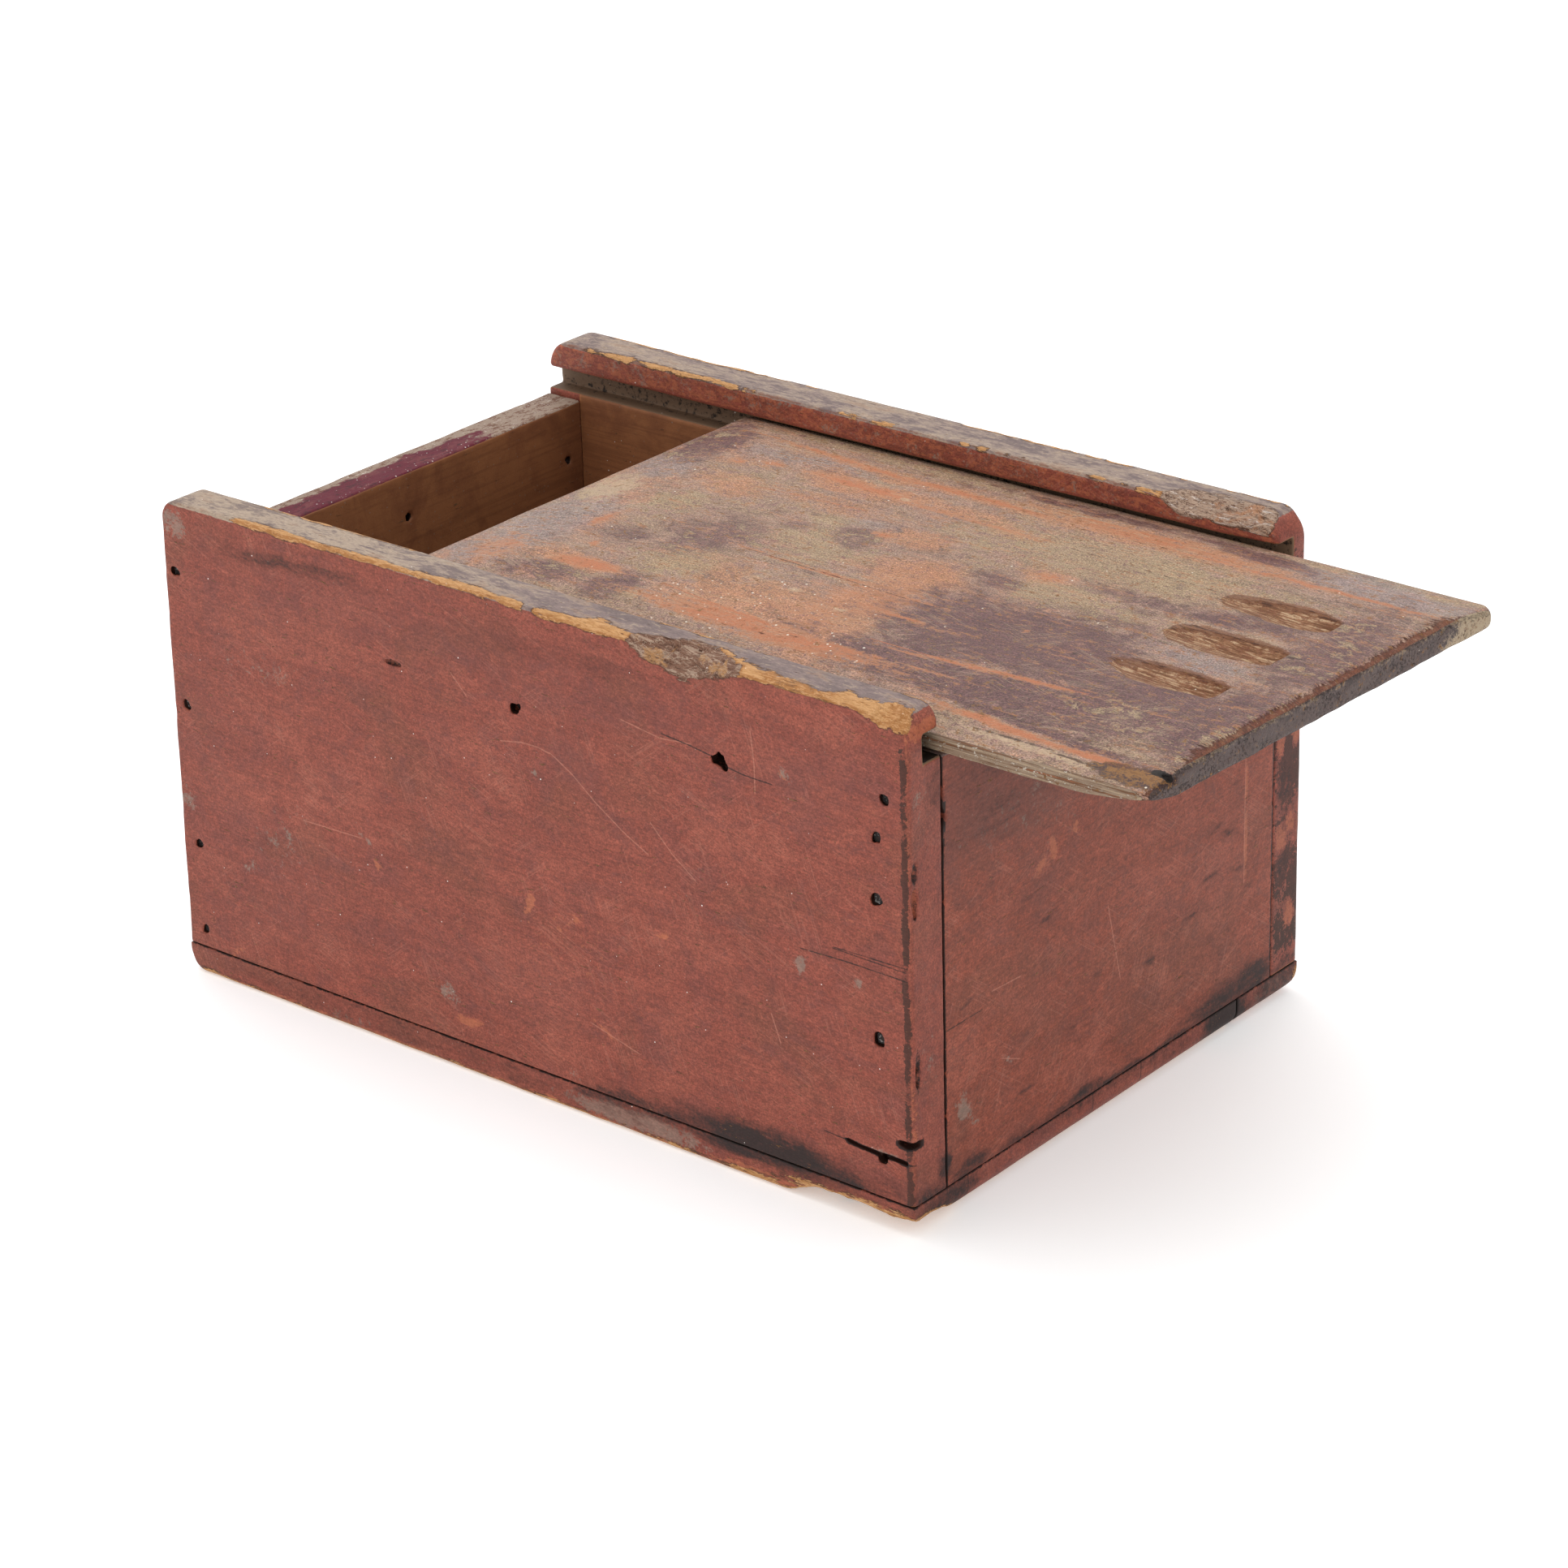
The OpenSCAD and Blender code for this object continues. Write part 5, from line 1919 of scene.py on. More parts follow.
    def marks(self, x: Array, y: Array, z: Array) -> Marks:
        """The marks on its surface, laid out on the plane of its top and carried down the bevels."""
        left, right, front, _, top, under = self.faces(x, y, z)
        upper = ramp(z, self.low[2] + 1.0, self.low[2] + 3.0)
        drop = self.top - z
        u, v = x + 1.8 * drop, y - 2.14 * drop
        sides = np.maximum(left, right)
        scoop = self.scoops(x, y, z, False)
        # The grips' dark rim is weighted towards their +y walls and their front wall, where shade falls:
        # partly painted shade
        shaded = 0.3 + 0.7 * np.maximum(ramp(x, 196, 203), sum(
            ramp(y - grip[0], 0, 3) * ramp(y - grip[0], 13, 10) for grip in self.grips))
        result = {
            "raw": np.where((under > -0.9) | ((sides > -1.2) & (z < 157.4)), 1.0, 0.0),
            "end": ramp(front, -2.4, -1.0) * ramp(z, 161.0, 159.0),
            "pale_end": np.maximum(ramp(y + 1.3 * drop, 58, 78), 0.4 * ramp(drop, 4.0, 2.4)),
            "pit": ramp(self.hole_gap(y, z), 0.7, 0.1) * ramp(x, 217, 219) * ramp(front, -0.5, -1.2),
            "grip": np.where(scoop < 0.55, 1.0, 0.0) * (top < -0.3),
            "grip_rim": ramp(np.abs(scoop), 1.3, 0.2) * ramp(top, -1.7, -0.5) * shaded,
            "depth": -self.new_wood(x, y, z) * (0.15 + 0.85 * ramp(front, -8, -4)),
            **self.drawn(u, v, upper),
        }
        wide, fine = self.stray(u, v, 7.0, 22), self.stray(u, v, 1.6, 9)
        for name in ("plum", "olive", "salmon", "blue", "orange", "tan", "soot", "flecks", "bloom", "gold"):
            place = fine if name in ("orange", "tan", "soot", "gold") else wide
            result[name] = upper * patches(*place, self.tints.get(name, ()))
        return result


# --- Nails ---


@dataclass
class Nails:
    """One group of driven cut nails, each set where its CAD solid is."""

    node: str
    aim: tuple
    seed: int
    head: float = 3.8
    head_deep: float = 1.3
    shank: float = 2.6
    shank_deep: float = 1.9
    tip: float = 1.2
    # How far a nail is turned at most, in radians, and the smallest share of its size that one has
    turn: float = 0.12
    smallest: float = 0.94
    # Points nearer to each other than this are of one nail
    apart: float = 5.0

    def places(self) -> tuple[Array, float]:
        """Where each nail's head faces out, in mm, and how long the nails are.

        Returns:
            The heads' middles, and the length of a nail in mm.
        """
        mesh = frame["nodes"][self.node].data
        points = np.empty(len(mesh.vertices) * 3, np.float32)
        mesh.vertices.foreach_get("co", points)
        points = points.reshape(-1, 3) / MM
        flat = (0, 1) if self.aim[0] == 0 else (0, 2)
        up = 2 if self.aim[0] == 0 else 1
        centres, groups = [], []
        for point in points:
            for centre, group in zip(centres, groups):
                if max(abs(point[n] - c) for n, c in zip(flat, centre)) < self.apart:
                    group.append(point)
                    break
            else:
                centres.append((point[flat[0]], point[flat[1]]))
                groups.append([point])
        rows = []
        for group in groups:
            box = np.array(group)
            middle = (box.min(0) + box.max(0)) / 2
            middle[up] = box[:, up].max() if self.aim[0] > 0 else box[:, up].min()
            rows.append(middle)
        length = float(np.ptp(np.array(groups[0])[:, up]))
        return np.array(rows), length

    def one_nail(self, length: float) -> bpy.types.Object:
        """A single nail: its head's face at the origin and its shank along +Z.

        Args:
            length: Its length in mm.

        Returns:
            The nail.
        """
        wide, deep, tip = (size / self.head for size in (self.shank, self.shank_deep, self.tip))
        rows = (
            (0.55, 0.55, 0.12), (0.86, 0.86, 0.0), (1.0, 1.0, 0.25), (1.0, 1.0, self.head_deep - 0.25),
            (0.9, 0.9, self.head_deep), (wide, deep, self.head_deep + 0.1), (wide, deep, length * 0.5),
            (tip, deep, length - 0.3), (tip * 0.8, deep * 0.8, length),
        )
        sides = 12
        points = []
        for wide, deep, height in rows:
            for n in range(sides):
                turn = 2 * math.pi * (n + 0.5) / sides
                c, s = math.cos(turn), math.sin(turn)
                square = (1 / max(abs(c), abs(s)) * 0.82 + 0.18) * self.head / 2
                points.append((c * square * wide, s * square * deep, height))
        points = np.array(points)
        mesh = bpy.data.meshes.new("one nail")
        faces = [tuple(range(sides))]
        for row in range(len(rows) - 1):
            for n in range(sides):
                m = (n + 1) % sides
                near, far = row * sides, (row + 1) * sides
                faces.append((near + n, far + n, far + m, near + m))
        faces.append(tuple((len(rows) - 1) * sides + n for n in reversed(range(sides))))
        mesh.from_pydata((points * MM).tolist(), [], [face[::-1] for face in faces])
        nail = bpy.data.objects.new("one nail", mesh)
        bpy.context.scene.collection.objects.link(nail)
        return nail

    def build(self, finish: Material, tree: tuple) -> bpy.types.Object:
        """Drives the nails.

        Args:
            finish: Their material.
            tree: The tree that sets nails on points.

        Returns:
            The finished piece.
        """
        places, length = self.places()
        nail = self.one_nail(length)
        base = mesh_object(self.node.replace("nail", "cut_nail"), places, np.zeros((0, 4), int), {})
        piece = run_tree(base, tree, {
            "Nail": nail,
            "Aim": tuple(math.radians(a) for a in self.aim),
            "Turn": self.turn,
            "Smallest": self.smallest,
            "Seed": self.seed,
            "Finish": finish,
        })
        bpy.data.objects.remove(nail)
        piece.data.polygons.foreach_set("use_smooth", [False] * len(piece.data.polygons))
        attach(piece, "case")
        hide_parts(self.node)
        log.info("%s: %d nails, %.1f mm long", piece.name, len(places), length)
        return piece


# --- Studio ---


@dataclass
class Studio:
    """The camera, the soft light and the white paper."""

    eye: tuple = (879.2, -1029.2, 676.8)
    azimuth: float = 39.795
    elevation: float = 24.163
    roll: float = -1.647
    lens: float = 104.94
    # For each light its name, its place and its side in metres, and its watts
    lights: tuple = (
        ("overhead softbox", (-0.5, 0.5, 2.2), 2.6, 32), ("front softbox", (0.5, -2.4, 1.2), 2.2, 12),
    )
    lit_spot: tuple = (0.03, 0, 0.08)
    room_light: float = 0.86
    floor_half: float = 9000.0
    floor_z: float = -0.2

    def camera(self) -> bpy.types.Object:
        """Makes the camera and sets it on the scene.

        Returns:
            The camera.
        """
        az, el, roll = (math.radians(a) for a in (self.azimuth, self.elevation, self.roll))
        ahead = Vector((-math.sin(az) * math.cos(el), math.cos(az) * math.cos(el), -math.sin(el)))
        level = ahead.cross(Vector((0, 0, 1))).normalized()
        up = level.cross(ahead).normalized()
        right = level * math.cos(roll) + up * math.sin(roll)
        up = right.cross(ahead).normalized()
        data = bpy.data.cameras.new("camera")
        data.lens = self.lens
        data.sensor_width = 36.0
        data.sensor_fit = "HORIZONTAL"
        data.clip_end = 50.0
        camera = bpy.data.objects.new("camera", data)
        place = Matrix((right, up, -ahead)).transposed().to_4x4()
        place.translation = Vector(self.eye) * MM
        camera.matrix_world = place
        bpy.context.scene.collection.objects.link(camera)
        bpy.context.scene.camera = camera
        return camera

    def light(self, name: str, place: tuple, size: float, watts: float) -> None:
        """A square soft light that looks at the box.

        Args:
            name: Its name.
            place: Its place, in metres.
            size: Its side, in metres.
            watts: Its power.
        """
        data = bpy.data.lights.new(name, "AREA")
        data.shape = "SQUARE"
        data.size = size
        data.energy = watts
        lamp = bpy.data.objects.new(name, data)
        lamp.location = Vector(place)
        ahead = Vector(self.lit_spot) - Vector(place)
        lamp.rotation_euler = ahead.to_track_quat("-Z", "Y").to_euler()
        bpy.context.scene.collection.objects.link(lamp)

    def dress(self) -> None:
        """Sets the paper, the lights and the plain view."""
        scene = bpy.context.scene
        scene.view_settings.view_transform = "Standard"
        scene.view_settings.look = "None"
        world = bpy.data.worlds.new("soft room")
        world.use_nodes = True
        walls = world.node_tree.nodes["Background"].inputs
        walls["Color"].default_value = (1, 1, 1, 1)
        walls["Strength"].default_value = self.room_light
        scene.world = world
        for name, place, size, watts in self.lights:
            self.light(name, place, size, watts)
        corners = [(x * self.floor_half, y * self.floor_half, self.floor_z)
                   for x, y in ((-1, -1), (1, -1), (1, 1), (-1, 1))]
        floor = mesh_object("floor", np.array(corners), np.array([[0, 1, 2, 3]]), {})
        floor.data.materials.append(StudioPaper().make())


def clear_startup() -> None:
    """Removes what Blender starts with, so that only the frame is there."""
    for item in list(bpy.data.objects):
        if item.name in ("Cube", "Light", "Camera"):
            bpy.data.objects.remove(item)


# --- Marks laid one by one ---

# The left side board
LEFT_CHIPS = (
    (-130, 0, 0), (-125, 0.5, 0.3), (-114, 0.8, 0.5), (-109, 1.2, 0.7), (-97, 1.4, 0.8), (-86, 1.4, 1.1),
    (-78, 1.0, 0.9), (-70, 0.9, 0.6), (-54, 1.4, 0.6), (-43, 1.2, 0.6), (-26, 2.1, 0.9), (-16, 1.6, 0.6),
    (-3, 1.8, 0.9), (5, 1.1, 0.9), (18, 1.2, 1.3), (26, 2, 1.4), (34, 3.3, 1.1), (45, 2.7, 1.3),
    (52, 3.2, 1.9), (59, 6.4, 3), (65, 7.8, 4.8), (73, 8.8, 6.2), (79, 8.2, 4.2), (89, 4.3, 1.8),
    (96, 4, 1.3), (108, 2.7, 1), (119, 2, 1.3), (126, 4.4, 1.1), (131, 5.1, 1.4), (138, 5, 2.6),
    (145, 6.3, 3.2), (150, 7.2, 3.5), (153, 7.6, 4),
)
LEFT_HOLES = (
    (1.5, 133.0, 1.9, 5.0), (82.3, 136.5, 2.2, 7.0), (84.4, 134.9, 1.3, 3.0), (141.0, 22.7, 1.7, 5.0),
)
LEFT_SLITS = (
    ((-48.8, -102.5, 135.6), (2.8, 1.4, 0.9)), ((152.6, -99.6, 118), (1.5, 1.1, 3.2)),
    ((152.6, -99.6, 108.5), (1.5, 1.0, 4.6)), ((152.6, -99.4, 54.5), (2.0, 0.9, 6.5)),
)
LEFT_TINTS = {
    "soot": (
        (82, 10, 50, 7, 0.8), (100, 11, 34, 8, 1.1), (122, 11, 18, 6, 0.9), (52, 11, 30, 3, 0.7),
        (140, 13, 14, 3, 0.5), (-90, 158, 40, 3, 0.5, 3), (20, 155, 40, 3, 0.4, 3),
    ),
    "grey": (
        (-144, 159, 6, 5, 0.8, 20), (-152, 110, 3, 7, 0.8), (-148, 63, 4, 4, 0.7),
        (-33, 26, 5, 3.2, 0.8, -20), (-120, 46, 4, 2, 0.6, 30), (-105, 60, 16, 10, 0.35, 30),
        (111, 80, 2.4, 3, 1.0), (133, 78, 2, 2, 0.9), (108, 139, 2.2, 2.2, 0.8),
        (-66, 72.6, 3.0, 0.9, 1.0, -30), (6.5, 113.5, 2.2, 0.8, 1.0, -30), (138, 25, 10, 1.4, 0.6),
        (-110, 120, 26, 6, 0.3, 4), (19, 13, 3, 2, 0.6),
    ),
    "orange": (
        (3, 68, 1.6, 4.5, 1.0, -30), (24, 69, 1.2, 3.4, 0.9, -40), (32, 32, 6, 1.0, 1.0, -20),
        (-25, 18, 5.5, 1.8, 1.0, 6), (57, 72, 4, 1.2, 0.85, 15), (-62, 63, 2.0, 1.8, 0.9),
        (-129, 13, 1.2, 5, 0.9, -40), (-140, 22, 3, 5, 0.5, -10), (20, 60, 30, 14, 0.35, 10),
        (107, 138, 2, 1.6, 0.8), (114, 132, 2, 1, 0.7), (132, 92, 12, 22, 0.3),
    ),
    "purple": (
        (-60, 150, 80, 14, 0.6), (40, 146, 70, 14, 0.6), (120, 140, 26, 16, 0.6),
        (22, 121, 14, 9, 0.8, -20), (-120, 140, 26, 24, 0.5), (-110, 40, 34, 20, 0.5, 20),
        (0, 40, 60, 14, 0.45), (-136, 90, 16, 40, 0.5), (110, 60, 24, 14, 0.4), (100, 46, 5, 3, 0.9),
    ),
}
LEFT_END_TINTS = {
    "soot": ((95, 11, 10, 3, 0.8), (88, 17, 2.4, 5, 0.9), (89, 142, 4, 7, 0.5)),
    "orange": ((95, 162, 8, 3, 1.0), (101, 40, 2, 16, 0.5)),
    "grey": ((97, 140, 5, 6, 0.4), (94, 60, 4, 20, 0.3)),
    "purple": ((95, 136, 10, 20, 0.5), (94, 90, 8, 20, 0.2)),
}
LEFT_LINES = {
    "scratch": (
        (1.0, (-3, 121), (4, 122.3), (10, 122.4), (16, 121.5), (24, 117), (33, 110), (44, 103), (52, 99)),
        (0.9, (56, 108), (63, 101), (70, 96)), (0.7, (-92, 70), (-70, 70.6)),
        (0.85, (95, 148), (96, 139), (96, 131)), (0.8, (28, 33.5), (44, 29.5)),
        (0.7, (46, 140), (60, 138), (70, 139)), (0.6, (-24, 138), (-19, 133)), (0.6, (100, 58), (103, 50)),
    ),
    "crack": (
        (0.9, (62, 139.5), (72, 138.6), (80, 137.4)), (0.9, (84, 135.6), (92, 134.4), (101, 134.2)),
        (0.5, (112, 84), (128, 84.6), (150, 84.5)), (0.45, (124, 88), (150, 88.5)),
        (0.8, (120, 25.6), (132, 25), (151, 24)),
    ),
}

# The right side board; its outer arris has the faint chips that the left one has on its lip
FAINT_CHIPS = (
    (-150, 0.6, 0.5), (-90, 1.3, 0.8), (-20, 0.4, 0.4), (60, 1.1, 0.9), (120, 0.6, 0.5), (153, 1.2, 1),
)
RIGHT_LIP_CHIPS = (
    (-150, 0.5, 0.4), (-132, 0.9, 0.6), (-112, 1.3, 0.9), (-92, 1.0, 0.6), (-70, 1.2, 0.8), (-56, 0.5, 0.4),
    (-30, 0.5, 0.4), (-10, 0.9, 0.6), (12, 0.4, 0.4), (40, 0.8, 0.6), (70, 0.5, 0.4), (100, 1.0, 0.7),
    (153, 1.0, 0.8),
)
RIGHT_TINTS = {
    "soot": ((145, 100, 9, 40, 0.6), (120, 12, 60, 3, 0.6), (-60, 12, 60, 3, 0.5)),
    "grey": ((0, 150, 120, 14, 0.4), (-60, 60, 20, 14, 0.4, 20), (40, 90, 12, 8, 0.4)),
    "orange": ((60, 60, 16, 6, 0.6, 20), (-90, 110, 12, 5, 0.6, -10), (0, 30, 30, 4, 0.5)),
    "purple": ((-40, 120, 80, 26, 0.6), (90, 70, 30, 20, 0.5)),
}
RIGHT_END_TINTS = {
    "flake": (
        (95, 130, 10, 22, 1.0), (96, 92, 10, 26, 1.0), (92, 50, 6, 14, 0.9), (98, 34, 6, 18, 0.95),
        (92, 24, 5, 9, 0.9),
    ),
    "soot": ((92, 78, 5, 9, 0.7), (92, 48, 5, 7, 0.7), (94, 12, 8, 3, 0.6), (95, 90, 10, 70, 0.35)),
    "grey": ((101, 24, 1.6, 14, 0.9), (101.5, 60, 1.2, 20, 0.7)),
    "orange": (
        (99.5, 94, 2.4, 6, 1.0), (90, 92, 2.5, 6, 1.0), (91, 57, 4, 5, 1.0), (99, 128, 2.4, 12, 1.0),
        (96, 29, 3, 5, 1.0), (97, 62, 3, 5, 0.9), (88, 112, 2, 3, 0.9), (93, 141, 3, 3, 0.9),
    ),
}

# The end boards
FRONT_GAPS = ((127.0, 23.0, 0.12), (131.0, 4.0, 1.7), (121.0, 2.5, 0.8))
FRONT_TINTS = {
    "soot": (
        (0, 10, 88, 2.6, 0.8), (-74, 11, 12, 5, 0.7), (-17, 11, 22, 3, 0.75), (62, 12, 26, 7, 0.85),
        (75, 14, 14, 8, 0.9), (-86, 18, 2.6, 5, 1.0), (52, 75, 5, 1.1, 0.75, 15),
        (61, 71, 5, 1.1, 0.75, -15), (50, 60, 6, 0.9, 0.75), (41, 50, 5, 0.9, 0.75),
        (17, 44, 5, 1.0, 0.75, 5), (-22, 38, 4, 0.9, 0.62, 5), (-10, 49, 3, 0.9, 0.6, 20),
        (-36, 78, 4, 1.2, 0.75), (-76, 66, 5, 0.8, 0.62, 25), (66, 86, 5, 0.8, 0.62),
        (72, 48, 5, 0.8, 0.62, 10), (-50, 26, 7, 0.7, 0.75), (-2, 36, 3, 0.8, 0.6, 10),
        (2, 66, 4, 0.8, 0.62, -20), (40, 26, 6, 0.9, 0.62, 5), (68, 56, 6, 0.9, 0.62, -10),
        # The wide patches at heights 140 and 124 darken the top of the face: painted shadow of the lid
        (-40, 90, 8, 5, 0.3), (0, 140, 90, 16, 0.55), (-60, 124, 30, 12, 0.4), (30, 40, 4, 0.8, 0.5, 5),
        (56, 40, 4, 0.8, 0.5, -5), (-4, 24, 5, 0.8, 0.5), (24, 30, 4, 0.9, 0.5), (44, 34, 3, 0.8, 0.5, 10),
    ),
    "grey": (
        (-77, 33, 3.4, 5, 0.9, 30), (-72, 26, 2, 2, 0.7), (-55, 41, 3, 0.9, 0.8, -20),
        (-40, 120, 40, 14, 0.3),
    ),
    "orange": (
        (-32, 101, 2.2, 5.5, 1.0, 14), (-38, 97, 5, 3.6, 0.75, 30), (-21, 104, 1.6, 2.4, 0.9),
        (-61, 105, 4, 1.2, 0.6, 20), (70, 72, 0.8, 21, 1.3), (70, 52.5, 1.6, 1.0, 1.2),
        (-60, 60, 30, 22, 0.3),
    ),
    "purple": (
        # The wide patches at heights 130 and 125 also darken the top of the face: painted shadow of the lid
        # over the plum
        (-50, 130, 60, 24, 0.9), (40, 125, 60, 20, 0.7), (-30, 60, 26, 20, 0.35), (60, 70, 26, 26, 0.45),
        (-38, 90, 10, 7, 0.8),
    ),
}
FRONT_LINES = {
    "scratch": (
        (1.6, (70, 93), (70, 52)), (0.8, (-4, 70), (2, 45)), (0.8, (-62, 66), (-51, 65.4)),
        (0.6, (-57, 41), (-50, 38)),
    ),
    "crack": ((0.45, (-85, 62), (-70, 62)),),
}
BACK_HOLES = ((-2.0, 133.0, 1.9, 4.0), (79.0, 129.0, 1.4, 2.5))
BACK_TINTS = {
    "soot": ((0, 10, 88, 3, 0.7), (-60, 14, 14, 6, 0.6), (40, 90, 6, 1.2, 0.4, 5)),
    "grey": ((20, 80, 20, 14, 0.4), (-50, 120, 14, 9, 0.5)),
    "orange": ((-20, 60, 12, 4, 0.7, 20), (50, 110, 8, 5, 0.6)),
    "purple": ((0, 120, 80, 20, 0.6),),
}

# The bottom, whose tints are given for its left edge and for its front
BOTTOM_TINTS = {
    "soot": (
        ((44, 9, 34, 3, 0.6), (92, 9, 34, 3, 0.9), (-40, 6, 110, 8, 0.35)),
        (
            (61, 5, 13, 9, 1.3), (90, 6, 17, 8, 0.75), (-84, 6, 14, 5, 0.9), (0, 9, 60, 2, 0.5),
            (30, 6, 16, 4, 0.4),
        ),
    ),
    "grey": (((44, 5, 27, 3.4, 1.1), (-80, 3, 12, 2, 0.4)), ((88, 5, 14, 5, 0.75),)),
    "orange": (
        ((-20, 0.5, 135, 1.6, 1.0), (92, 2, 22, 2.2, 1.0), (132, 3, 26, 4, 1.0)),
        ((-92, 3, 12, 4, 0.7), (20, 0.5, 60, 1.2, 0.5)),
    ),
    "bare": (
        (
            (-140, 0.4, 16, 1.4, 0.75), (-96, -0.1, 26, 1.0, 0.6), (-30, 0.2, 18, 1.2, 0.7),
            (22, 0.2, 26, 1.4, 0.8), (60, 0.4, 14, 1.5, 0.75), (92, 0.6, 16, 1.8, 0.85),
            (128, 4.8, 24, 2.0, 0.8),
        ),
        ((-101, 2, 5, 3, 0.9), (101, 4, 1.6, 4, 0.8)),
    ),
}
BOTTOM_LINES = {
    "crack": (
        (0.8, (52, 10), (52, 1)), (0.7, (-12, 10), (-12, 2)), (0.9, (13.7, 10), (13.7, 1)),
        (0.7, (-76, 10), (-76, 2)),
    ),
}

# The lid
LID_TINTS = {
    "orange": (
        (0, 65, 34, 1.7, 0.8, -6), (50, 62.5, 34, 1.8, 0.9, -2), (124, 64.5, 44, 5.0, 0.62, -2),
        (180, 60.5, 48, 1.2, 0.9, -1), (18, 49.5, 20, 3.6, 0.85, -4), (60, 46, 30, 1.8, 0.55, -2),
        (-43, -58, 7, 12, 0.5), (-31, 45, 3, 2, 0.8), (-20, 50, 4, 2, 0.6), (49, 19, 3, 2, 0.7),
        (113, 20, 5, 4, 0.6), (-11, -53, 12, 3.4, 1.0, 4), (66, -64, 44, 6.0, 0.85, -2),
        (50, -57.5, 24, 1.6, 0.9, -3), (78, -30, 12, 26, 0.4), (60, -16.8, 40, 0.8, 0.9, -3),
        (92, -31, 14, 0.7, 0.8), (140, -49.6, 34, 1.2, 0.95, 4), (120, -61, 26, 0.9, 0.7),
        (168, -80, 24, 1.9, 1.1, -7), (208, -83, 18, 1.6, 1.1, -3), (-20, -38.5, 4, 1.0, 0.8, -56),
        (-33, -22, 1.6, 8, 0.6), (133, -19, 1.2, 1.0, 0.8),
    ),
    "salmon": (
        (20, 48, 26, 7, 1.0, -2), (68, 46, 30, 5, 0.9, -2), (-20, 27, 14, 10, 0.8), (62, 21, 14, 6, 1.0),
        (80, -4, 15, 13, 1.0), (80, -42, 14, 30, 1.1), (50, -48, 26, 16, 0.95), (30, -34, 22, 9, 0.6, -10),
        (-16, -53, 18, 6, 0.9), (113, 20, 8, 6, 0.7), (20, 30, 26, 9, 0.5), (-34, -24, 5, 14, 0.7),
        (120, 64, 50, 7, 0.8, -2), (40, 62, 60, 4, 0.8, -2), (-30, 48, 12, 8, 0.5),
    ),
    "plum": (
        (-50, 56, 10, 19, 1.0), (152, 72, 26, 3.4, 1.0, -3), (90, 74, 40, 2.2, 0.7, -1),
        (46, 11, 9, 9, 0.65), (24, 8, 7, 5, 0.5), (4, -13, 18, 15, 0.7), (-16, -26, 14, 8, 0.45),
        (-18, -66, 13, 8, 0.85), (6, -62, 9, 13, 0.7), (132, -26, 44, 24, 1.15),
        (150, -60, 66, 14, 1.1, -2), (192, -44, 40, 22, 1.0), (216, 20, 13, 40, 0.9),
        (218, -44, 14, 28, 1.1), (104, 9, 8, 6, 0.8), (145, 22, 18, 6, 0.6), (184, 24, 24, 6, 0.8),
        (150, 2, 20, 6, 0.6), (176, -76, 50, 3.0, 1.0, -5), (190, 53, 30, 4, 0.4),
    ),
    "blue": (
        (207, 68, 30, 6.5, 1.2, -3), (-49, 29, 9, 11, 0.9), (-45, -32, 12, 28, 1.0), (-46, -66, 12, 9, 0.7),
        (-8, 58, 26, 5, 0.6), (184, -8, 24, 7, 0.8), (44, 22, 9, 4.5, 0.7), (218, 45, 10, 10, 0.5),
        (-30, 56, 10, 8, 0.6), (6, -12, 8, 6, 0.4),
    ),
    "olive": (
        (-26, 6, 10, 7, 0.9), (12, -34, 12, 16, 0.9, -10), (40, -2, 18, 9, 0.9), (126, 10, 18, 9, 0.95),
        (125, 42, 46, 17, 1.0), (175, 40, 16, 14, 0.7), (190, -54, 12, 7, 0.7), (208, -67, 12, 5, 0.8),
        (228, -60, 4, 16, 0.8), (-17, -66, 7, 4, 1.0), (16, -65, 6, 3, 0.9), (20, 74, 80, 3, 0.7, -1),
        (200, 75, 44, 2.6, 1.0, -1), (-14, 36, 20, 10, 0.4), (130, -66, 26, 5, 0.5), (170, 8, 18, 5, 0.6),
        (215, 4, 10, 10, 0.5), (30, 18, 8, 5, 0.7),
    ),
    "tan": (
        (-49, 2, 8, 15, 0.85), (36, 47.5, 2.5, 1.5, 0.9), (55, -33, 3, 1.8, 0.9),
        (77, -38, 3, 1.8, 0.9, 20), (190, -88, 36, 3.0, 0.9, -3), (226, -44, 2.4, 8, 0.9),
        (200, -58, 16, 8, 0.45),
    ),
    "soot": (
        (155, -24.5, 1.2, 1.6, 1.0), (186, -86.2, 42, 0.8, 0.9, -4), (208, 10, 3.5, 0.8, 0.9),
        (180, -74, 46, 1.4, 0.55, -4),
    ),
    "flecks": ((60, -60, 50, 14, 1.0, -4), (60, -40, 40, 18, 0.7)),
    "bloom": (
        (128, 9, 24, 11, 1.0), (188, -52, 20, 12, 0.55), (212, -66, 16, 9, 0.7), (-17, -64, 12, 7, 1.1),
        (14, -64, 9, 5, 1.0), (10, -14, 18, 13, 0.7), (42, 6, 22, 10, 0.8), (-28, 2, 12, 12, 0.7),
        (8, -36, 16, 14, 0.7), (100, 34, 40, 8, 0.6), (216, 26, 12, 30, 0.7), (-52, 50, 8, 20, 0.7),
        (170, 4, 14, 5, 0.9), (-50, -2, 6, 12, 1.0), (225, -40, 5, 30, 0.9), (160, 50, 40, 8, 0.6),
    ),
    "gold": ((221, -87, 12, 5.0, 0.9),),
}
LID_LINES = {
    "crack": (
        (0.5, (22, -14.5), (60, -17), (98, -19.5)), (0.7, (206, 10), (211, 10)),
        (0.4, (100, 44), (160, 40), (210, 38)), (0.4, (110, -5), (160, -7)),
    ),
    "scratch": (
        (0.9, (100, -50), (135, -50.4), (150, -48.4), (174, -46.8)), (0.6, (20, -52), (70, -60)),
        (0.5, (-10, 30), (30, 33)),
    ),
}

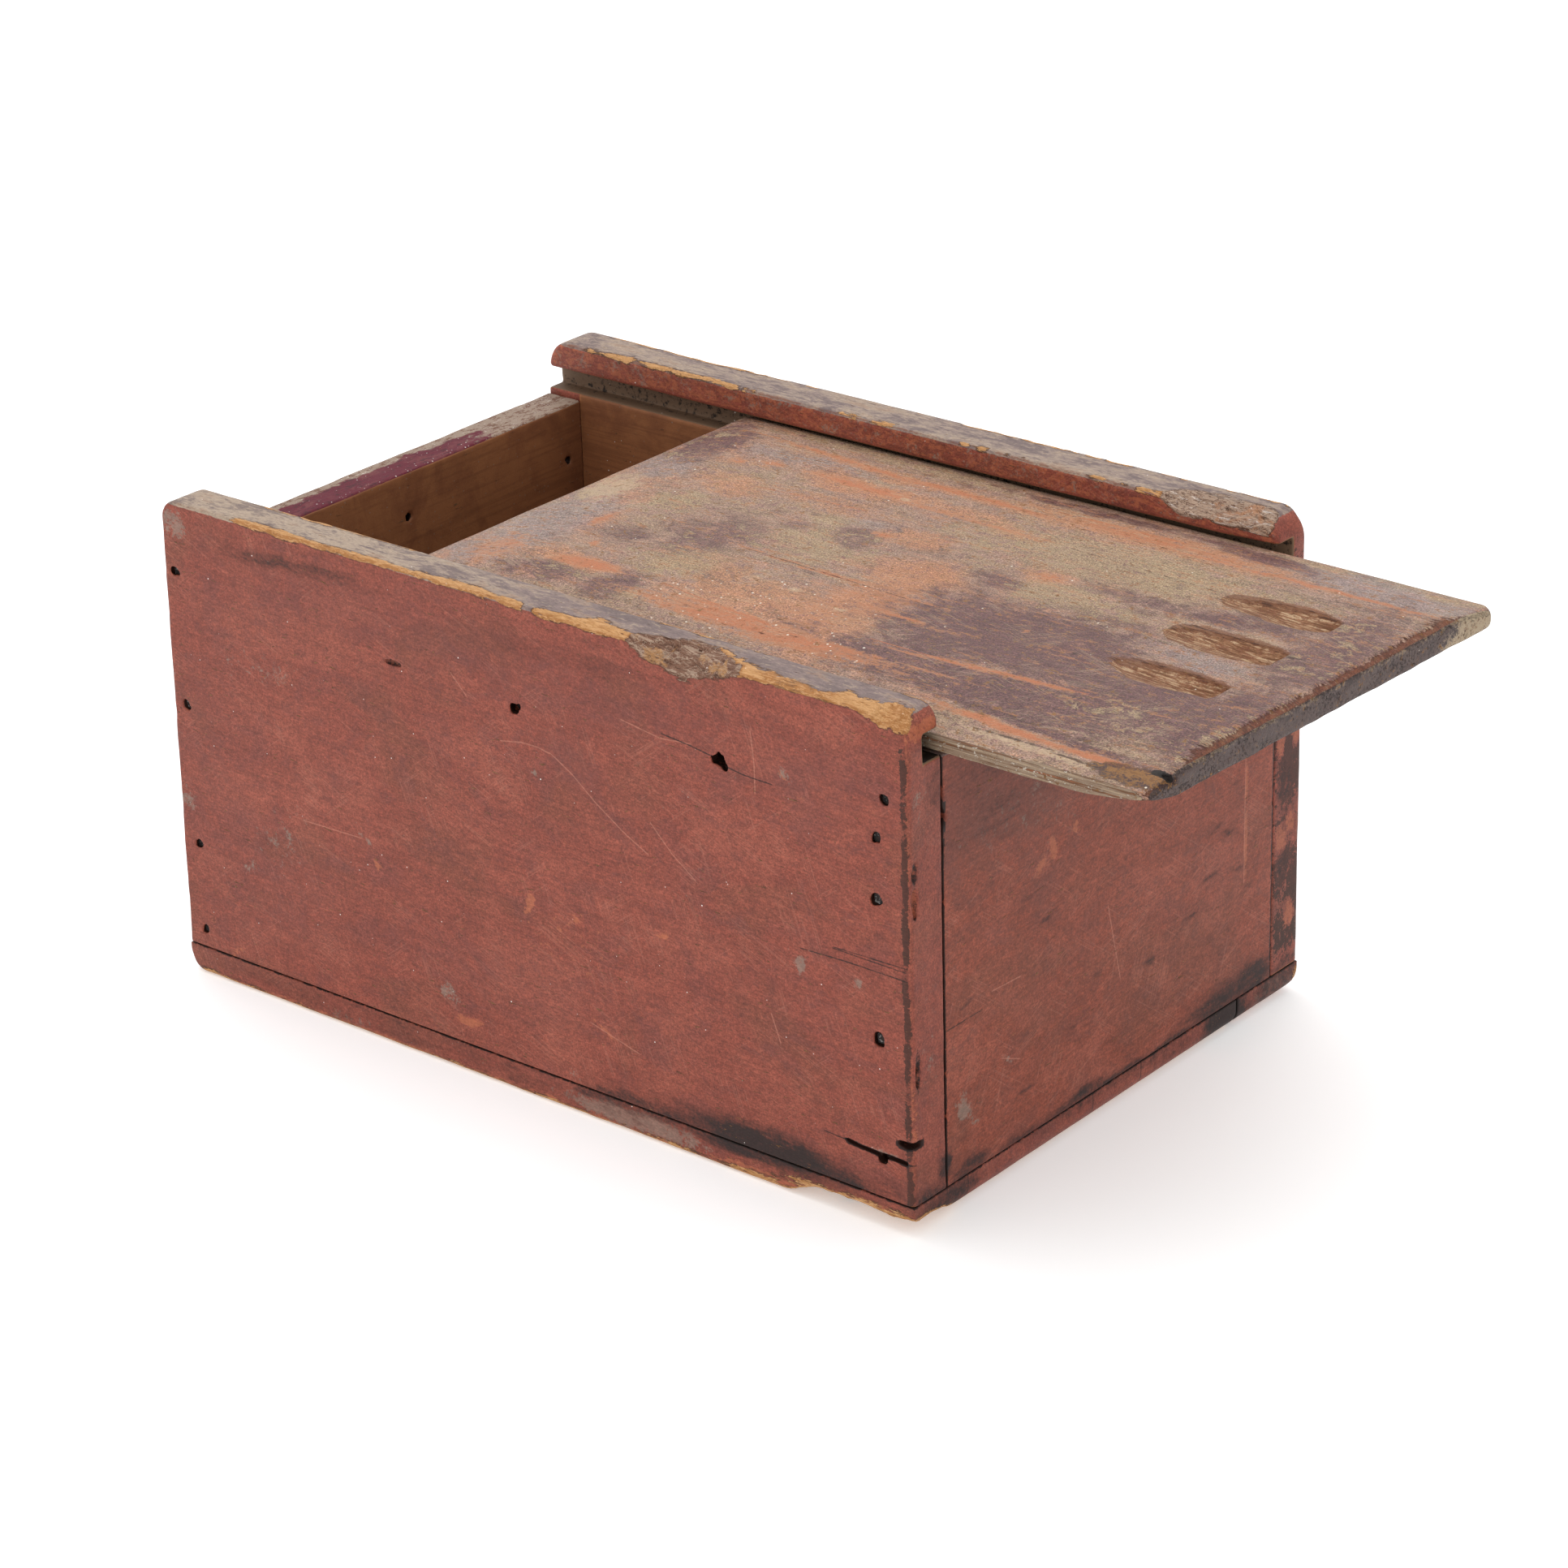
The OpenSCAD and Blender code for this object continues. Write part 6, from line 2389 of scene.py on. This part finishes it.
# Each group of nails, and the turn about x in degrees that points them into the wood
NAIL_TURNS = {
    "left_front_nails": -90, "left_back_nails": -90, "left_stray_nail": -90, "right_front_nails": 90,
    "right_back_nails": 90, "bottom_left_nails": 0, "bottom_right_nails": 0, "bottom_front_nails": 0,
    "bottom_back_nails": 0,
}


def main() -> None:
    """Builds the studio and the box, piece by piece."""
    clear_startup()
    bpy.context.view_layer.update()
    studio = Studio()
    studio.camera()
    studio.dress()
    planed, driven = planed_tree(), nails_tree()
    red_x = OldRedPaint("Old red milk paint on pine sides", Axis.X).make()
    red_y = OldRedPaint(
        "Old red milk paint on pine ends", Axis.Y, (4, 0, 0), ground="#803e2b", plum="#65382f",
    ).make()
    patina = LidPatina().make()
    iron = WroughtIron().make()

    boards = (
        (LeftSideBoard(
            "left_side", "left_side_board", coarse=1.75, seed=11, side=-1, rake=3.4, chips=LEFT_CHIPS,
            lip_chips=FAINT_CHIPS, tints=LEFT_TINTS, end_tints=LEFT_END_TINTS, lines=LEFT_LINES,
            holes=LEFT_HOLES, slits=LEFT_SLITS,
        ), red_x),
        (RightSideBoard(
            "right_side", "right_side_board", coarse=1.8, seed=23, side=1, corner=9.5, chips=FAINT_CHIPS,
            lip_chips=RIGHT_LIP_CHIPS, tints=RIGHT_TINTS, end_tints=RIGHT_END_TINTS,
        ), red_x),
        (EndBoard(
            "front_end", "front_end_board", grain=Axis.Y, coarse=1.6, seed=37, end=1, tints=FRONT_TINTS,
            lines=FRONT_LINES, gaps=FRONT_GAPS,
        ), red_y),
        (EndBoard(
            "back_end", "back_end_board", grain=Axis.Y, coarse=1.7, seed=41, end=-1, tints=BACK_TINTS,
            holes=BACK_HOLES, painted=(-14.0, 0.0, 48.0),
        ), red_y),
        (BottomPlank(
            "bottom_plank", "bottom_board", coarse=2.0, seed=53, broken=5.2, tints=BOTTOM_TINTS,
            lines=BOTTOM_LINES,
        ), red_x),
        (BottomPlank(
            "bottom_narrow_plank", "bottom_strip", coarse=2.0, seed=59, tints=BOTTOM_TINTS,
            lines=BOTTOM_LINES,
        ), red_x),
        (SlidingLid(
            "lid_panel", "sliding_lid", body="lid", slot="weathered_pine", coarse=1.45, seed=67,
            tints=LID_TINTS, lines=LID_LINES,
        ), patina),
    )
    pieces = [board.build(finish, planed) for board, finish in boards]
    for n, (node, turn) in enumerate(NAIL_TURNS.items()):
        pieces.append(Nails(node, (turn, 0, 0), 71 + n).build(iron, driven))

    log.info("%d pieces", len(pieces))


if __name__ == "__main__":
    logging.basicConfig(level=logging.INFO, format="%(message)s")
    main()
